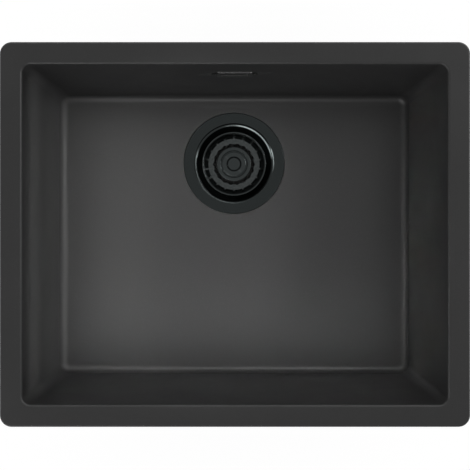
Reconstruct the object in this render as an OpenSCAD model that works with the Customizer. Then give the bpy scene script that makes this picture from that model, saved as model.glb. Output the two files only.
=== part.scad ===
// Granite composite inset sink with a basket strainer waste, a slot overflow and six worktop clamps.
// Units are millimetres. +X is to the right, +Y to the rear wall, +Z up.
// The origin is the centre of the rim's seat: z = 0 is the worktop's top face.

/* [Rim] */
// Width of the rim, from the top of the bowl's walls to its outer edge
rim_border = 26.5; // [25:0.5:40]
// Thickness of the stone rim above its seal
rim_t = 7; // [6:0.5:10]
// Corner radius of the rim's outline
rim_corner_r = 14; // [8:1:30]
// Rounding of the rim's upper outer edge
rim_edge_r = 2; // [1:0.5:3]

/* [Bowl] */
// Width of the bowl opening, at the top of its side walls
bowl_w = 497; // [440:1:560]
// Front-to-back size of the bowl opening, at the top of its walls
bowl_d = 397; // [360:1:450]
// Depth from the rim's top to the floor beside the drain
bowl_depth = 200; // [170:5:220]
// How far each side wall leans in from top to foot
side_lean = 17.7; // [12:0.1:24]
// How far the front and rear walls lean in from top to foot
end_lean = 14.4; // [10:0.1:20]
// Thickness of the walls
wall_t = 9; // [8:0.5:10]
// Thickness of the floor beside the drain
floor_t = 10; // [9:1:14]
// Fall of the floor from its front edge to its rear edge
floor_fall = 3; // [1:0.5:5]
// Fall of the floor from its rear edge to the drain
drain_fall = 1; // [0.5:0.5:2]
// Corner radius between two walls, at the opening
corner_r = 10; // [8:1:20]
// Corner radius between two walls, at their foot
foot_corner_r = 14; // [13:1:24]
// Rounding of the bowl's lip
lip_r = 3.5; // [2:0.5:4]
// Cove radius between the walls and the floor
cove_r = 12; // [8:1:12]
// Rounding of the bowl's outer bottom edge
keel_r = 16; // [12:1:18]

/* [Rim seal] */
// Thickness of the pressed foam strip under the rim
seal_t = 1.5; // [1:0.5:3]
// Width of the foam strip
seal_w = 6; // [4:0.5:7]
// Distance from the rim's edge to the strip
seal_inset = 2.5; // [2:0.5:4]

/* [Drain] */
// Distance of the drain's centre from the foot of the rear wall
drain_inset = 90; // [88:1:120]
// Drain hole through the floor
drain_hole_d = 90; // [88:0.5:92]
// Outer diameter of the strainer's flange
flange_d = 134; // [126:1:138]
// Inner diameter of the flange, where it turns down into the well
throat_d = 100; // [98:0.5:103]
// Depth of the stone recess that takes the flange
recess_h = 5; // [4.5:0.5:6]
// Gap round the flange in its recess
recess_gap = 1.5; // [0.5:0.5:3]
// Height of the stone boss round the drain hole, under the floor
boss_h = 4; // [2:0.5:6]
// Thickness of the stainless sheet
sheet_t = 1.2; // [1:0.1:1.4]
// Depth of the well below the rim of the basket
well_h = 24; // [20:1:30]

/* [Basket] */
// Number of windows in the basket's wall, and of holes in its floor
windows = 18; // [12:1:20]
// Radius of the ring of floor holes' outer ends
basket_hole_r = 28; // [26:0.5:29]
// Diameter of the knob's lower disc
knob_d = 42; // [34:1:42]
// Diameter of the knob's button
button_d = 32; // [24:1:34]
// Diameter of the dimple in the button
dimple_d = 17; // [10:1:20]

/* [Waste body] */
// Outer diameter of the outlet, a 1 1/2 inch pipe thread
outlet_d = 47.8; // [47:0.1:48.2]
// Bore of the outlet
outlet_bore_d = 40; // [36:0.5:41]
// Length of the outlet's threaded spigot
outlet_l = 26; // [20:1:32]
// Height of the body's chamber below its flange
chamber_h = 32; // [30:1:40]
// Wall thickness of the plastic mouldings
plastic_t = 3; // [2.5:0.5:4]
// Thickness of the rubber washer under the stone
washer_t = 3; // [2:0.5:4]

/* [Overflow] */
// Distance of the overflow slot's centre below the rim's top
slot_drop = 55; // [50:1:60]
// Length of the slot through the rear wall
slot_w = 56; // [50:1:60]
// Height of the slot
slot_h = 16; // [12:1:18]
// Width of the cover plate in front of the slot
cover_w = 43; // [40:1:46]
// Height of the cover plate
cover_h = 26; // [22:1:30]
// Thickness of the cover plate
cover_t = 1.8; // [1.2:0.2:2.4]
// Distance of the housing's spigot end below the slot
spigot_drop = 72; // [66:1:80]
// Diameter of the overflow hose over its ribs
hose_d = 17; // [16:0.5:18]
// Number of ribs along the hose
hose_ribs = 30; // [20:1:36]

/* [Clamps] */
// Thickest worktop that the clamps take
worktop_max = 40; // [36:1:44]
// Travel of a clamp screw, down to the thinnest worktop
clamp_travel = 16; // [10:1:18]
// Distance of the front and rear clamps from the middle
clamp_spread = 150; // [110:5:180]
// Reach of a claw from its screw
claw_reach = 28; // [26:1:34]

/* [Hidden] */
$fn = 72;
// How far a cutting solid runs past the face that it cuts
overcut = 1;
// Gap at rest between a lifted or moving piece and its seat
seat_gap = 0.3;
// Radial clearance of a running or screwed fit
slip = 0.05;

// Levels of the rim and the bowl, and the walls' lean
rim_w = bowl_w + 2 * rim_border;
rim_d = bowl_d + 2 * rim_border;
top_z = seal_t + rim_t;
floor_z = top_z - bowl_depth;
floor_edge_z = floor_z + drain_fall;
under_z = floor_z - floor_t;
boss_z = under_z - boss_h;
wall_top_z = top_z - lip_r;
lean_a = atan((side_lean + end_lean) / 2 / (wall_top_z - floor_edge_z - cove_r));
foot_z = floor_edge_z + cove_r - cove_r * sin(lean_a);
wall_h = wall_top_z - foot_z;
side_slope = side_lean / wall_h;
end_slope = end_lean / wall_h;

// Inner half sizes of the bowl and its corner radius at a height
function inner_x(z) = bowl_w / 2 - side_slope * (wall_top_z - z);
function inner_y(z) = bowl_d / 2 - end_slope * (wall_top_z - z);
function inner_r(z) = corner_r + (foot_corner_r - corner_r) * (wall_top_z - z) / wall_h;
foot_y = inner_y(foot_z);
drain_y = foot_y - drain_inset;

// A closed ring of points: a rounded rectangle at height z, with its straight sides divided
arc_steps = 6;
edge_steps = 6;
ring_n = 4 * (arc_steps + edge_steps);
function corner_points(hx, hy, r, z, q) =
    let (sx = (q == 0 || q == 3) ? 1 : -1, sy = q < 2 ? 1 : -1)
    [for (i = [0:arc_steps])
        let (a = q * 90 + i * 90 / arc_steps)
        [sx * (hx - r) + r * cos(a), sy * (hy - r) + r * sin(a), z]];
function ring(hx, hy, r, z) = [for (q = [0:3])
    let (arc = corner_points(hx, hy, r, z, q), next = corner_points(hx, hy, r, z, (q + 1) % 4)[0])
    let (side = next - arc[arc_steps])
    each concat(arc, [for (k = [1:edge_steps - 1]) arc[arc_steps] + side * k / edge_steps])];

// The same number of points on a circle round the drain, one corner of the bowl to each quarter
function drain_ring(r, z) = [for (j = [0:ring_n - 1])
    let (a = 45 + (j - arc_steps / 2) * 360 / ring_n)
    [r * cos(a), drain_y + r * sin(a), z]];

// Rings at an offset from the bowl's inner face, its outer face and the rim's edge
function inner_ring(offset, z_wall, z) =
    ring(inner_x(z_wall) + offset, inner_y(z_wall) + offset, inner_r(z_wall) + offset, z);
function outer_ring(offset, z_wall, z) = inner_ring(wall_t + offset, z_wall, z);
function rim_ring(offset, z) = ring(rim_w / 2 - offset, rim_d / 2 - offset, rim_corner_r - offset, z);
// A ring raised towards the front by the floor's fall
function fallen(points) = [for (p = points) p + [0, 0, floor_fall * (foot_y - p[1]) / (2 * foot_y)]];

keel_z = under_z + keel_r;
neck_r = 4;
rim_chamfer = 0.5;
drain_land = 5;
drain_flat_r = flange_d / 2 + recess_gap + drain_land;
bowl_rings = concat(
    [for (a = [90:-18:0]) outer_ring(-keel_r * (1 - cos(a)), keel_z, keel_z - keel_r * sin(a))],
    [for (a = [0:30:90]) outer_ring(neck_r * (1 - cos(a)), seal_t - neck_r, seal_t - neck_r * (1 - sin(a)))],
    [rim_ring(rim_chamfer, seal_t), rim_ring(0, seal_t + rim_chamfer)],
    [for (a = [0:22.5:90]) rim_ring(rim_edge_r * (1 - cos(a)), top_z - rim_edge_r * (1 - sin(a)))],
    [for (a = [90:-18:0]) inner_ring(lip_r * (1 - cos(a)), wall_top_z, top_z - lip_r * (1 - sin(a)))],
    [for (k = [0:5])
        let (a = lean_a + (90 - lean_a) * k / 5)
        fallen(inner_ring(-cove_r * (cos(lean_a) - cos(a)), foot_z, floor_edge_z + cove_r * (1 - sin(a))))],
    [drain_ring(drain_flat_r, floor_z)]);

// The middle of a ring of points
function middle(points) = [for (i = [0:2]) (min([for (p = points) p[i]]) + max([for (p = points) p[i]])) / 2];

// A solid through a stack of rings, closed at each end by a fan round the ring's middle
module loft(rings) {
    n = len(rings[0]);
    last = len(rings) - 1;
    hub = n * len(rings);
    polyhedron(
        points = concat([for (r = rings) each r], [middle(rings[0]), middle(rings[last])]),
        faces = [for (j = [0:n - 1])
            let (k = (j + 1) % n)
            each concat(
                [[hub, j, k], [hub + 1, last * n + k, last * n + j]],
                [for (i = [0:last - 1]) each [
                    [i * n + j, (i + 1) * n + j, (i + 1) * n + k],
                    [i * n + j, (i + 1) * n + k, i * n + k]]])],
        convexity = 8);
}

module rounded_plate(w, d, r, h) {
    linear_extrude(height = h) {
        square([w - 2 * r, d], center = true);
        square([w, d - 2 * r], center = true);
        for (sx = [-1, 1], sy = [-1, 1]) translate([sx * (w / 2 - r), sy * (d / 2 - r)]) circle(r = r);
    }
}

// What a screwdriver's cross is cut with: it stands on z = 0
cross_w = 1.2;
cross_depth = 1.6;
module cross(l) {
    for (a = [0, 90]) rotate([0, 0, a]) translate([-l / 2, -cross_w / 2, 0])
        cube([l, cross_w, cross_depth + overcut]);
}

// A plate with round ends, w long over all and h high
module slot_plate(w, h, t) {
    linear_extrude(height = t) {
        square([w - h, h], center = true);
        for (s = [-1, 1]) translate([s * (w - h) / 2, 0]) circle(d = h);
    }
}

// The drain's place, and the slot's: there local z runs outwards through the leaning rear wall
module at_drain() { translate([0, drain_y, 0]) children(); }
slot_z = top_z - slot_drop;
lean_end = atan(end_slope);
wall_n = wall_t * cos(lean_end);
module at_slot() {
    translate([0, inner_y(slot_z), slot_z]) rotate([-90 - lean_end, 0, 0]) rotate([0, 0, 180]) children();
}

// Levels of a clamp, down from the worktop's underside
screw_r = 2.5;
strip_t = 2;
claw_t = 2.5;
claw_hub_r = 4;
claw_step = 3;
claw_tooth_h = 2;
claw_park = 2;
collar_t = 1.2;
thread_h = 3.5;
head_t = 3.5;
head_r = 4;
fix_head_r = 4.5;
fix_head_t = 2.6;
ring_r = 3.4;
ring_t = 0.8;
hub_z = -worktop_max - claw_park - claw_step - claw_t - claw_tooth_h;
tab_z = hub_z - collar_t - seat_gap;
head_gap = 0.5;
head_z = tab_z - strip_t - thread_h - clamp_travel - head_gap;
fix_gap = 1;
fix_z = head_z - head_t - fix_head_r - fix_gap;

// Clamp stations: x = 0 is the face of the fixing pad, and local +X points away from the bowl
wall_gap = 2;
pad_w = 22;
pad_h = 20;
pad_r = 4;
hub_gap = 0.4;
screw_x = strip_t + hub_gap + claw_hub_r;
tab_margin = 0.3;
tab_end = claw_hub_r + tab_margin;
side_pad_x = inner_x(tab_z) + wall_t + wall_gap;
end_pad_y = inner_y(tab_z) + wall_t + wall_gap;
side_pad_l = side_pad_x - inner_x(fix_z) - wall_t / 2;
end_pad_l = end_pad_y - inner_y(fix_z) - wall_t / 2;
stations = [
    [[side_pad_x, 0], 0, side_pad_l], [[clamp_spread, end_pad_y], 90, end_pad_l],
    [[-clamp_spread, end_pad_y], 90, end_pad_l], [[-side_pad_x, 0], 180, side_pad_l],
    [[-clamp_spread, -end_pad_y], 270, end_pad_l], [[clamp_spread, -end_pad_y], 270, end_pad_l]];
module at_station(i) { translate(stations[i][0]) rotate([0, 0, stations[i][1]]) children(); }

// The brass inserts stop short of the bowl's inner face
fix_r = 2.5;
insert_r = 3.6;
insert_skin = 4;
insert_l = min(side_pad_l, end_pad_l) + wall_t / 2 - insert_skin;

// The strainer, from the floor beside the drain downwards
flange_r = flange_d / 2;
throat_r = throat_d / 2;
flange_sink = 0.2;
flange_slope = 0.12;
flange_z = floor_z - flange_sink;
throat_z = flange_z - (flange_r - throat_r) * flange_slope;
well_gap = 0.6;
well_r = drain_hole_d / 2 - well_gap - sheet_t;
cone_z = throat_z - (throat_r - well_r);
ledge_drop = 2.3;
ledge_z = cone_z - ledge_drop;
ledge_w = 1.4;
lower_r = well_r - ledge_w;
well_floor_z = ledge_z - well_h;
countersink_h = throat_r - well_r - (throat_z - floor_z + recess_h) + sheet_t * 0.6;
bead_h = 0.8;
bead_r = 28.5;
outlet_open_r = 26;
hub_r = 9;
web_w = 6;
bolt_r = 4;
bolt_head_r = 7;
bolt_head_h = 2.4;
boss_margin = 3;
function flange_under(r) = throat_z + (r - throat_r) * flange_slope - sheet_t;

module bowl() {
    color("#343434") difference() {
        union() {
            loft(bowl_rings);
            at_drain() translate([0, 0, boss_z]) cylinder(r = washer_r + boss_margin, h = boss_h + overcut);
            for (i = [0:5]) at_station(i) translate([-stations[i][2], 0, fix_z]) rotate([0, 90, 0])
                rounded_plate(pad_h, pad_w, pad_r, stations[i][2]);
        }
        at_drain() {
            translate([0, 0, floor_z - recess_h]) cylinder(r = flange_r + recess_gap, h = recess_h + overcut);
            translate([0, 0, floor_z - recess_h - countersink_h])
                cylinder(r1 = drain_hole_d / 2, r2 = drain_hole_d / 2 + countersink_h, h = countersink_h);
            translate([0, 0, boss_z - overcut]) cylinder(d = drain_hole_d, h = floor_t + boss_h);
        }
        at_slot() translate([0, 0, -overcut]) slot_plate(slot_w, slot_h, wall_t + 2 * overcut);
        for (i = [0:5]) at_station(i) translate([-insert_l, 0, fix_z])
            rotate([0, 90, 0]) cylinder(r = insert_r, h = insert_l + overcut, $fn = 32);
    }
}

module rim_seal() {
    seal_outer_w = rim_w - 2 * seal_inset;
    seal_outer_d = rim_d - 2 * seal_inset;
    seal_outer_r = rim_corner_r - seal_inset;
    color("#202020") difference() {
        rounded_plate(seal_outer_w, seal_outer_d, seal_outer_r, seal_t);
        translate([0, 0, -overcut]) rounded_plate(seal_outer_w - 2 * seal_w, seal_outer_d - 2 * seal_w,
            max(1, seal_outer_r - seal_w), seal_t + 2 * overcut);
    }
}

// The pressed flange and well: the sheet's upper face runs in, its lower face runs back out
module strainer_well() {
    color("#1d2122") at_drain() difference() {
        union() {
            rotate_extrude($fn = 120) polygon([
                [flange_r, flange_under(flange_r) + 0.3], [flange_r, flange_z - 0.5],
                [flange_r - 0.3, flange_z - 0.1], [flange_r - 1, flange_z],
                [throat_r + 1.2, throat_z + 0.1], [throat_r + 0.4, throat_z - 0.1],
                [throat_r - 0.4, throat_z - 0.6],
                [well_r, cone_z], [well_r, ledge_z + 0.3], [well_r - 0.3, ledge_z], [lower_r, ledge_z],
                [lower_r, well_floor_z + 2], [lower_r - 0.6, well_floor_z + 0.6], [lower_r - 2, well_floor_z],
                [bead_r + 1.5, well_floor_z], [bead_r + 0.5, well_floor_z + bead_h],
                [bead_r - 0.5, well_floor_z + bead_h], [bead_r - 1.5, well_floor_z],
                [0, well_floor_z], [0, well_floor_z - sheet_t],
                [lower_r - 2, well_floor_z - sheet_t], [lower_r + 0.2, well_floor_z - 0.2],
                [lower_r + sheet_t, well_floor_z + 2], [lower_r + sheet_t, ledge_z - sheet_t],
                [well_r + sheet_t, ledge_z - 0.4], [well_r + sheet_t, cone_z - 0.5],
                [throat_r + 0.5, throat_z - sheet_t], [throat_r + 1.5, flange_under(throat_r + 1.5)]]);
        }
        translate([0, 0, well_floor_z - sheet_t - overcut])
            cylinder(r = bolt_r + 0.3, h = sheet_t + 2 * overcut);
        for (q = [0:3]) rotate([0, 0, 45 + q * 90]) translate([0, 0, well_floor_z - sheet_t - overcut])
            linear_extrude(height = sheet_t + 2 * overcut) intersection() {
                difference() {
                    circle(r = outlet_open_r);
                    circle(r = hub_r);
                }
                polygon([[web_w * sqrt(0.5), 0], [2 * outlet_open_r, 2 * outlet_open_r - web_w * sqrt(0.5)],
                    [2 * outlet_open_r, web_w * sqrt(0.5) - 2 * outlet_open_r]]);
            }
    }
}

module flange_gasket() {
    gasket_in_r = throat_r + 4;
    gasket_out_r = flange_r - 0.5;
    color("#151515") at_drain() rotate_extrude($fn = 96)
        polygon([[gasket_in_r, floor_z - recess_h], [gasket_out_r, floor_z - recess_h],
            [gasket_out_r, flange_under(gasket_out_r)], [gasket_in_r, flange_under(gasket_in_r)]]);
}

washer_w = 12;
washer_r = drain_hole_d / 2 + 1 + washer_w;
body_top_z = boss_z - washer_t;
module floor_washer() {
    color("#151515") at_drain() translate([0, 0, body_top_z]) difference() {
        cylinder(r = washer_r, h = washer_t);
        translate([0, 0, -overcut]) cylinder(r = drain_hole_d / 2 + 1, h = washer_t + 2 * overcut);
    }
}

// The waste body's chamber, its funnel and the outlet; the hose enters by a port in its rear
chamber_r = drain_hole_d / 2;
chamber_z = body_top_z - chamber_h;
outlet_r = outlet_d / 2;
outlet_bore_r = outlet_bore_d / 2;
funnel_h = (chamber_r - outlet_bore_r) * 0.7;
spigot_z = chamber_z - funnel_h;
outlet_z = spigot_z - outlet_l;
body_lip_t = 4;
outlet_step = 2;
port_step = 2;
hose_r = hose_d / 2;
rib_h = 1.2;
hose_root_r = hose_r - rib_h;
hose_bore_r = hose_root_r - 0.9;
spigot_r = hose_r + 0.2;
spigot_bore_r = hose_bore_r;
port_l = 8;
port_drop = 20;
port_z = body_top_z - port_drop;
port_end = chamber_r + plastic_t + port_l;
bolt_boss_r = 10;
bolt_boss_h = 16;
bolt_boss_z = well_floor_z - sheet_t - seat_gap;
nut_pocket_r = 6.5;
nut_pocket_h = 8;
nut_pocket_drop = 13;
nut_pocket_z = bolt_boss_z - nut_pocket_drop;
arm_t = 3;
arm_h = 12;
arm_low_z = bolt_boss_z - bolt_boss_h;
arm_knee_z = max(chamber_z + 1, arm_low_z);
arm_low_r = chamber_r + 1
    - (arm_knee_z - arm_low_z) * (chamber_r - outlet_bore_r) / (chamber_z + 1 - spigot_z - outlet_step);
gusset_t = 2;
gusset_h = 20;
module waste_body() {
    color("#191919") at_drain() {
        difference() {
            union() {
                rotate_extrude($fn = 96) polygon([
                    [0, body_top_z], [washer_r, body_top_z], [washer_r, body_top_z - body_lip_t],
                    [chamber_r + plastic_t, body_top_z - body_lip_t - 2], [chamber_r + plastic_t, chamber_z],
                    [outlet_r + outlet_step, spigot_z + outlet_step], [outlet_r + outlet_step, spigot_z],
                    [outlet_r, spigot_z],
                    [outlet_r, outlet_z + 1], [outlet_r - 1, outlet_z], [0, outlet_z]]);
                translate([0, 0, port_z]) rotate([-90, 0, 0]) {
                    cylinder(r = spigot_r, h = port_end);
                    cylinder(r = spigot_r + port_step, h = chamber_r + plastic_t + 1.5);
                }
                for (q = [0:7]) rotate([90, 0, 22.5 + q * 45]) translate([0, 0, -gusset_t / 2])
                    linear_extrude(height = gusset_t) polygon([
                        [chamber_r + 1, body_top_z - body_lip_t + 1],
                        [washer_r - 1, body_top_z - body_lip_t + 1],
                        [washer_r - 1, body_top_z - body_lip_t - 1],
                        [chamber_r + 1, body_top_z - gusset_h]]);
            }
            rotate_extrude($fn = 96) polygon([
                [0, body_top_z + overcut], [chamber_r, body_top_z + overcut], [chamber_r, chamber_z + 1],
                [outlet_bore_r, spigot_z + outlet_step], [outlet_bore_r, outlet_z - overcut],
                [0, outlet_z - overcut]]);
            translate([0, 0, port_z]) rotate([-90, 0, 0]) cylinder(r = spigot_bore_r, h = port_end + overcut);
        }
        difference() {
            union() {
                translate([0, 0, arm_low_z]) cylinder(r = bolt_boss_r, h = bolt_boss_h);
                // An arm from the boss to the chamber's wall, cut along the funnel below the chamber
                for (q = [0:2]) rotate([90, 0, 30 + q * 120]) translate([0, 0, -arm_t / 2])
                    linear_extrude(height = arm_t) polygon([
                        [bolt_boss_r - 1, arm_low_z], [arm_low_r, arm_low_z], [chamber_r + 1, arm_knee_z],
                        [chamber_r + 1, arm_low_z + arm_h], [bolt_boss_r - 1, arm_low_z + arm_h]]);
            }
            translate([0, 0, nut_pocket_z]) cylinder(r = bolt_r + 0.3, h = bolt_boss_h);
            translate([0, 0, nut_pocket_z]) cylinder(r = nut_pocket_r, h = nut_pocket_h, $fn = 6);
        }
    }
}

module clamp_nut() {
    color("goldenrod") at_drain() translate([0, 0, nut_pocket_z]) difference() {
        cylinder(r = nut_pocket_r - slip, h = nut_pocket_h - slip, $fn = 6);
        translate([0, 0, -overcut]) cylinder(r = bolt_r + slip, h = nut_pocket_h + 2 * overcut);
    }
}

module clamp_bolt() {
    color("silver") at_drain() difference() {
        union() {
            translate([0, 0, nut_pocket_z + 0.5])
                cylinder(r = bolt_r, h = well_floor_z + 0.5 - nut_pocket_z);
            translate([0, 0, well_floor_z]) cylinder(r = bolt_head_r, h = bolt_head_h);
        }
        translate([0, 0, well_floor_z + bolt_head_h / 2]) cross(2 * bolt_head_r - 4);
    }
}

// The basket, seated on the ledge with its stopper on the bead round the outlet
basket_t = 1;
basket_rim_r = well_r - 0.5;
basket_rim_z = ledge_z + seat_gap;
rim_band_h = 1.8;
basket_wall_r = lower_r - 0.8;
basket_taper = 4.4;
basket_foot_r = basket_wall_r - basket_taper;
basket_h = 15.5;
basket_floor_z = ledge_z - basket_h;
crown_h = 3;
crown_in_r = basket_hole_r + 0.6;
crown_out_r = basket_foot_r - 1.4;
window_pitch = 360 / windows;
window_rib = 3.2;
window_low_z = basket_floor_z + 3.4;
window_high_z = ledge_z - 2.6;
function window_half(r) = r * sin(window_pitch / 2) - window_rib / 2;
hole_r = basket_hole_r * sin(window_pitch / 2) * 0.62;
hole_l = hole_r * 1.6;
knob_r = knob_d / 2;
button_r = button_d / 2;
knob_t = 2.6;
button_h = 2.2;
knob_rise = 9;
knob_z = basket_floor_z + basket_t + knob_rise;
dimple_h = 2;
dimple_ball_r = (dimple_d * dimple_d / 4 + dimple_h * dimple_h) / (2 * dimple_h);
stud_r = 3;
stopper_r = bead_r + 2.5;
stopper_low_z = well_floor_z + bead_h + seat_gap;
stopper_web = 2.6;
basket_nut_h = 2.2;
basket_nut_r = 5.5;
stud_low_z = well_floor_z + bolt_head_h + seat_gap;
stud_high_z = basket_floor_z + 7.5;

module basket_cup() {
    color("#17191a") at_drain() difference() {
        union() {
            rotate_extrude($fn = 120) polygon([
                [basket_rim_r, basket_rim_z], [basket_rim_r, basket_rim_z + rim_band_h - 0.5],
                [basket_rim_r - 0.5, basket_rim_z + rim_band_h],
                [basket_rim_r - 1.3, basket_rim_z + rim_band_h],
                [basket_rim_r - 1.8, basket_rim_z + rim_band_h - 0.5],
                [basket_wall_r - basket_t, ledge_z - 1.5],
                [basket_foot_r - basket_t, basket_floor_z + 3],
                [basket_foot_r - 2.4, basket_floor_z + basket_t],
                [0, basket_floor_z + basket_t], [0, basket_floor_z],
                [basket_foot_r - 2, basket_floor_z], [basket_foot_r, basket_floor_z + 2.4],
                [basket_wall_r, ledge_z - 1.5], [basket_wall_r, basket_rim_z]]);
            rotate_extrude($fn = 120) polygon([
                [crown_in_r, basket_floor_z + 0.5], [crown_out_r, basket_floor_z + 0.5],
                [crown_out_r, basket_floor_z + basket_t + crown_h - 1.4],
                [crown_out_r - 1.4, basket_floor_z + basket_t + crown_h],
                [crown_in_r + 1.6, basket_floor_z + basket_t + crown_h],
                [crown_in_r, basket_floor_z + basket_t + crown_h - 1.6]]);
        }
        for (i = [0:windows - 1]) rotate([0, 0, 90 + i * window_pitch]) {
            // A groove between two teeth of the crown
            translate([crown_in_r - 0.6, -0.8, basket_floor_z + basket_t])
                cube([crown_out_r - crown_in_r + 1.2, 1.6, crown_h + overcut]);
            // A window in the wall, between two ribs
            rotate([0, 0, window_pitch / 2]) translate([0, 0, window_low_z])
                linear_extrude(height = window_high_z - window_low_z) polygon([
                    [crown_out_r, -window_half(crown_out_r)], [basket_rim_r, -window_half(basket_rim_r)],
                    [basket_rim_r, window_half(basket_rim_r)], [crown_out_r, window_half(crown_out_r)]]);
            // A hole in the floor, with a round outer end
            rotate([0, 0, window_pitch / 2]) translate([basket_hole_r - hole_r, 0, basket_floor_z - overcut])
                linear_extrude(height = basket_t + 2 * overcut) {
                    circle(r = hole_r, $fn = 24);
                    translate([-hole_l, -hole_r * 0.75]) square([hole_l, hole_r * 1.5]);
                }
        }
        translate([0, 0, basket_floor_z - overcut]) cylinder(r = stud_r + 0.2, h = basket_t + 2 * overcut);
    }
}

module basket_knob() {
    color("#26292a") at_drain() difference() {
        rotate_extrude($fn = 96) polygon([
            [0, basket_floor_z + basket_t], [9, basket_floor_z + basket_t], [7, knob_z - knob_t - 1],
            [8.5, knob_z - knob_t], [knob_r - 0.6, knob_z - knob_t], [knob_r, knob_z - knob_t + 0.6],
            [knob_r, knob_z - 0.8], [knob_r - 0.8, knob_z], [button_r + 1.2, knob_z],
            [button_r + 0.8, knob_z - 1], [button_r, knob_z - 1], [button_r, knob_z + button_h - 0.8],
            [button_r - 0.8, knob_z + button_h], [0, knob_z + button_h]]);
        translate([0, 0, knob_z + button_h - dimple_h + dimple_ball_r]) sphere(r = dimple_ball_r);
        translate([0, 0, basket_floor_z]) cylinder(r = stud_r + slip, h = stud_high_z - basket_floor_z + 0.5);
    }
}

module basket_stud() {
    color("silver") at_drain() translate([0, 0, stud_low_z])
        cylinder(r = stud_r, h = stud_high_z - stud_low_z);
}

// The rubber bell: a flat disc under the cup and a skirt that comes down round the bead
stopper_disc_r = 20;
stopper_hub_r = 13;
module basket_stopper() {
    color("#101010") at_drain() rotate_extrude($fn = 96) polygon([
        [stud_r + slip, basket_floor_z], [stopper_disc_r, basket_floor_z],
        [stopper_r - 7, basket_floor_z - 1.4], [stopper_r - 2.6, stopper_low_z + 2.4],
        [stopper_r, stopper_low_z + 0.8], [stopper_r, stopper_low_z], [bead_r - 1.5, stopper_low_z],
        [stopper_disc_r, basket_floor_z - stopper_web - 0.8], [stopper_hub_r, basket_floor_z - stopper_web],
        [stud_r + slip, basket_floor_z - stopper_web]]);
}

module basket_nut() {
    color("silver") at_drain() translate([0, 0, basket_floor_z - stopper_web - basket_nut_h]) difference() {
        cylinder(r = basket_nut_r, h = basket_nut_h, $fn = 6);
        translate([0, 0, -overcut]) cylinder(r = stud_r + slip, h = basket_nut_h + 2 * overcut);
    }
}

// The overflow: a cover with two prongs in front of the slot, a gasket and a housing behind it
gasket_t = 2;
gasket_w = slot_w + 14;
gasket_h = slot_h + 14;
mouth_z = wall_n + gasket_t;
housing_t = 2;
housing_l = 7;
housing_w = slot_w + 8;
housing_h = slot_h + 8;
prong_t = 1.8;
prong_w = 8;
prong_x = cover_w / 2 - 2.6;
prong_tip = 2.6;
barb = 1.2;
cover_r = 2.5;
slit_r = 2;
slit_border = 4.5;
slit_w = cover_w - 2 * slit_border;
slit_h = cover_h / 3;
module overflow_cover() {
    color("#141414") at_slot() {
        difference() {
            translate([0, 0, -cover_t]) rounded_plate(cover_w, cover_h, cover_r, cover_t);
            translate([0, 0, -cover_t - overcut])
                rounded_plate(slit_w, slit_h, slit_r, cover_t + 2 * overcut);
        }
        for (s = [-1, 1]) scale([s, 1, 1]) translate([prong_x, prong_w / 2, 0]) rotate([90, 0, 0])
            linear_extrude(height = prong_w) polygon([
                [-prong_t / 2, -0.2], [prong_t / 2, -0.2], [prong_t / 2, mouth_z + housing_t + 0.2],
                [prong_t / 2 + barb, mouth_z + housing_t + barb / 2],
                [-prong_t / 2, mouth_z + housing_t + prong_tip]]);
    }
}

module overflow_gasket() {
    color("#101010") at_slot() translate([0, 0, wall_n]) difference() {
        slot_plate(gasket_w, gasket_h, gasket_t);
        translate([0, 0, -overcut]) slot_plate(slot_w + 2, slot_h + 2, gasket_t + 2 * overcut);
    }
}

// The hose hangs clear of the wall by its union nut
nut_wall = 2;
nut_rib_r = 1.2;
nut_r = spigot_r + slip + nut_wall + nut_rib_r / 2;
spigot_end_z = slot_z - spigot_drop;
hose_y = inner_y(spigot_end_z) + wall_t + nut_r + 1;
neck_drop = 36;
neck_top_z = slot_z - neck_drop;
funnel_w = 28;
module overflow_housing() {
    neck_z = mouth_z + housing_t / 2;
    // Room enough for the whole funnel
    room = 2 * neck_drop + funnel_w;
    color("#1b1b1b") difference() {
        union() {
            at_slot() translate([0, 0, mouth_z]) {
                slot_plate(gasket_w, gasket_h, housing_t);
                slot_plate(housing_w, housing_h, housing_l + housing_t);
            }
            intersection() {
                hull() {
                    translate([0, hose_y, neck_top_z]) cylinder(r = spigot_r + 1, h = 2, $fn = 32);
                    at_slot() translate([-funnel_w / 2, 1 - housing_h / 2, mouth_z])
                        cube([funnel_w, 2, housing_l + housing_t - 0.5]);
                }
                at_slot() translate([-room, -room, neck_z]) cube([2 * room, 2 * room, room]);
            }
            translate([0, hose_y, spigot_end_z]) cylinder(r = spigot_r, h = neck_top_z + 1 - spigot_end_z);
        }
        at_slot() {
            translate([0, 0, mouth_z + housing_t])
                slot_plate(housing_w - 2 * housing_t, housing_h - 2 * housing_t, housing_l - housing_t);
            translate([0, 0, mouth_z - overcut])
                slot_plate(2 * (prong_x + prong_t), slot_h - 2, housing_t + 2 * overcut);
        }
        hull() {
            translate([0, hose_y, neck_top_z + 0.5]) cylinder(r = spigot_bore_r + 0.5, h = 1, $fn = 32);
            at_slot() translate([0, housing_t + 1 - housing_h / 2, mouth_z + housing_t + 0.5])
                translate([housing_t - funnel_w / 2, 0, 0])
                    cube([funnel_w - 2 * housing_t, 3, housing_l - housing_t - 1]);
        }
        translate([0, hose_y, spigot_end_z - overcut])
            cylinder(r = spigot_bore_r, h = neck_top_z + 1 - spigot_end_z + overcut);
    }
}

// The hose's centre line: straight down behind the bowl, a quarter bend, and forward into the port
washer_h = 1.5;
collar_h = 2;
cuff_l = hose_d;
hose_start_z = spigot_end_z - washer_h;
hose_end_y = drain_y + port_end + washer_h;
bend_y = hose_end_y + cuff_l;
bend_r = hose_y - bend_y;
bend_z = port_z + bend_r;
drop_l = hose_start_z - bend_z;
bend_l = bend_r * PI / 2;
hose_l = drop_l + bend_l + cuff_l;
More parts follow.
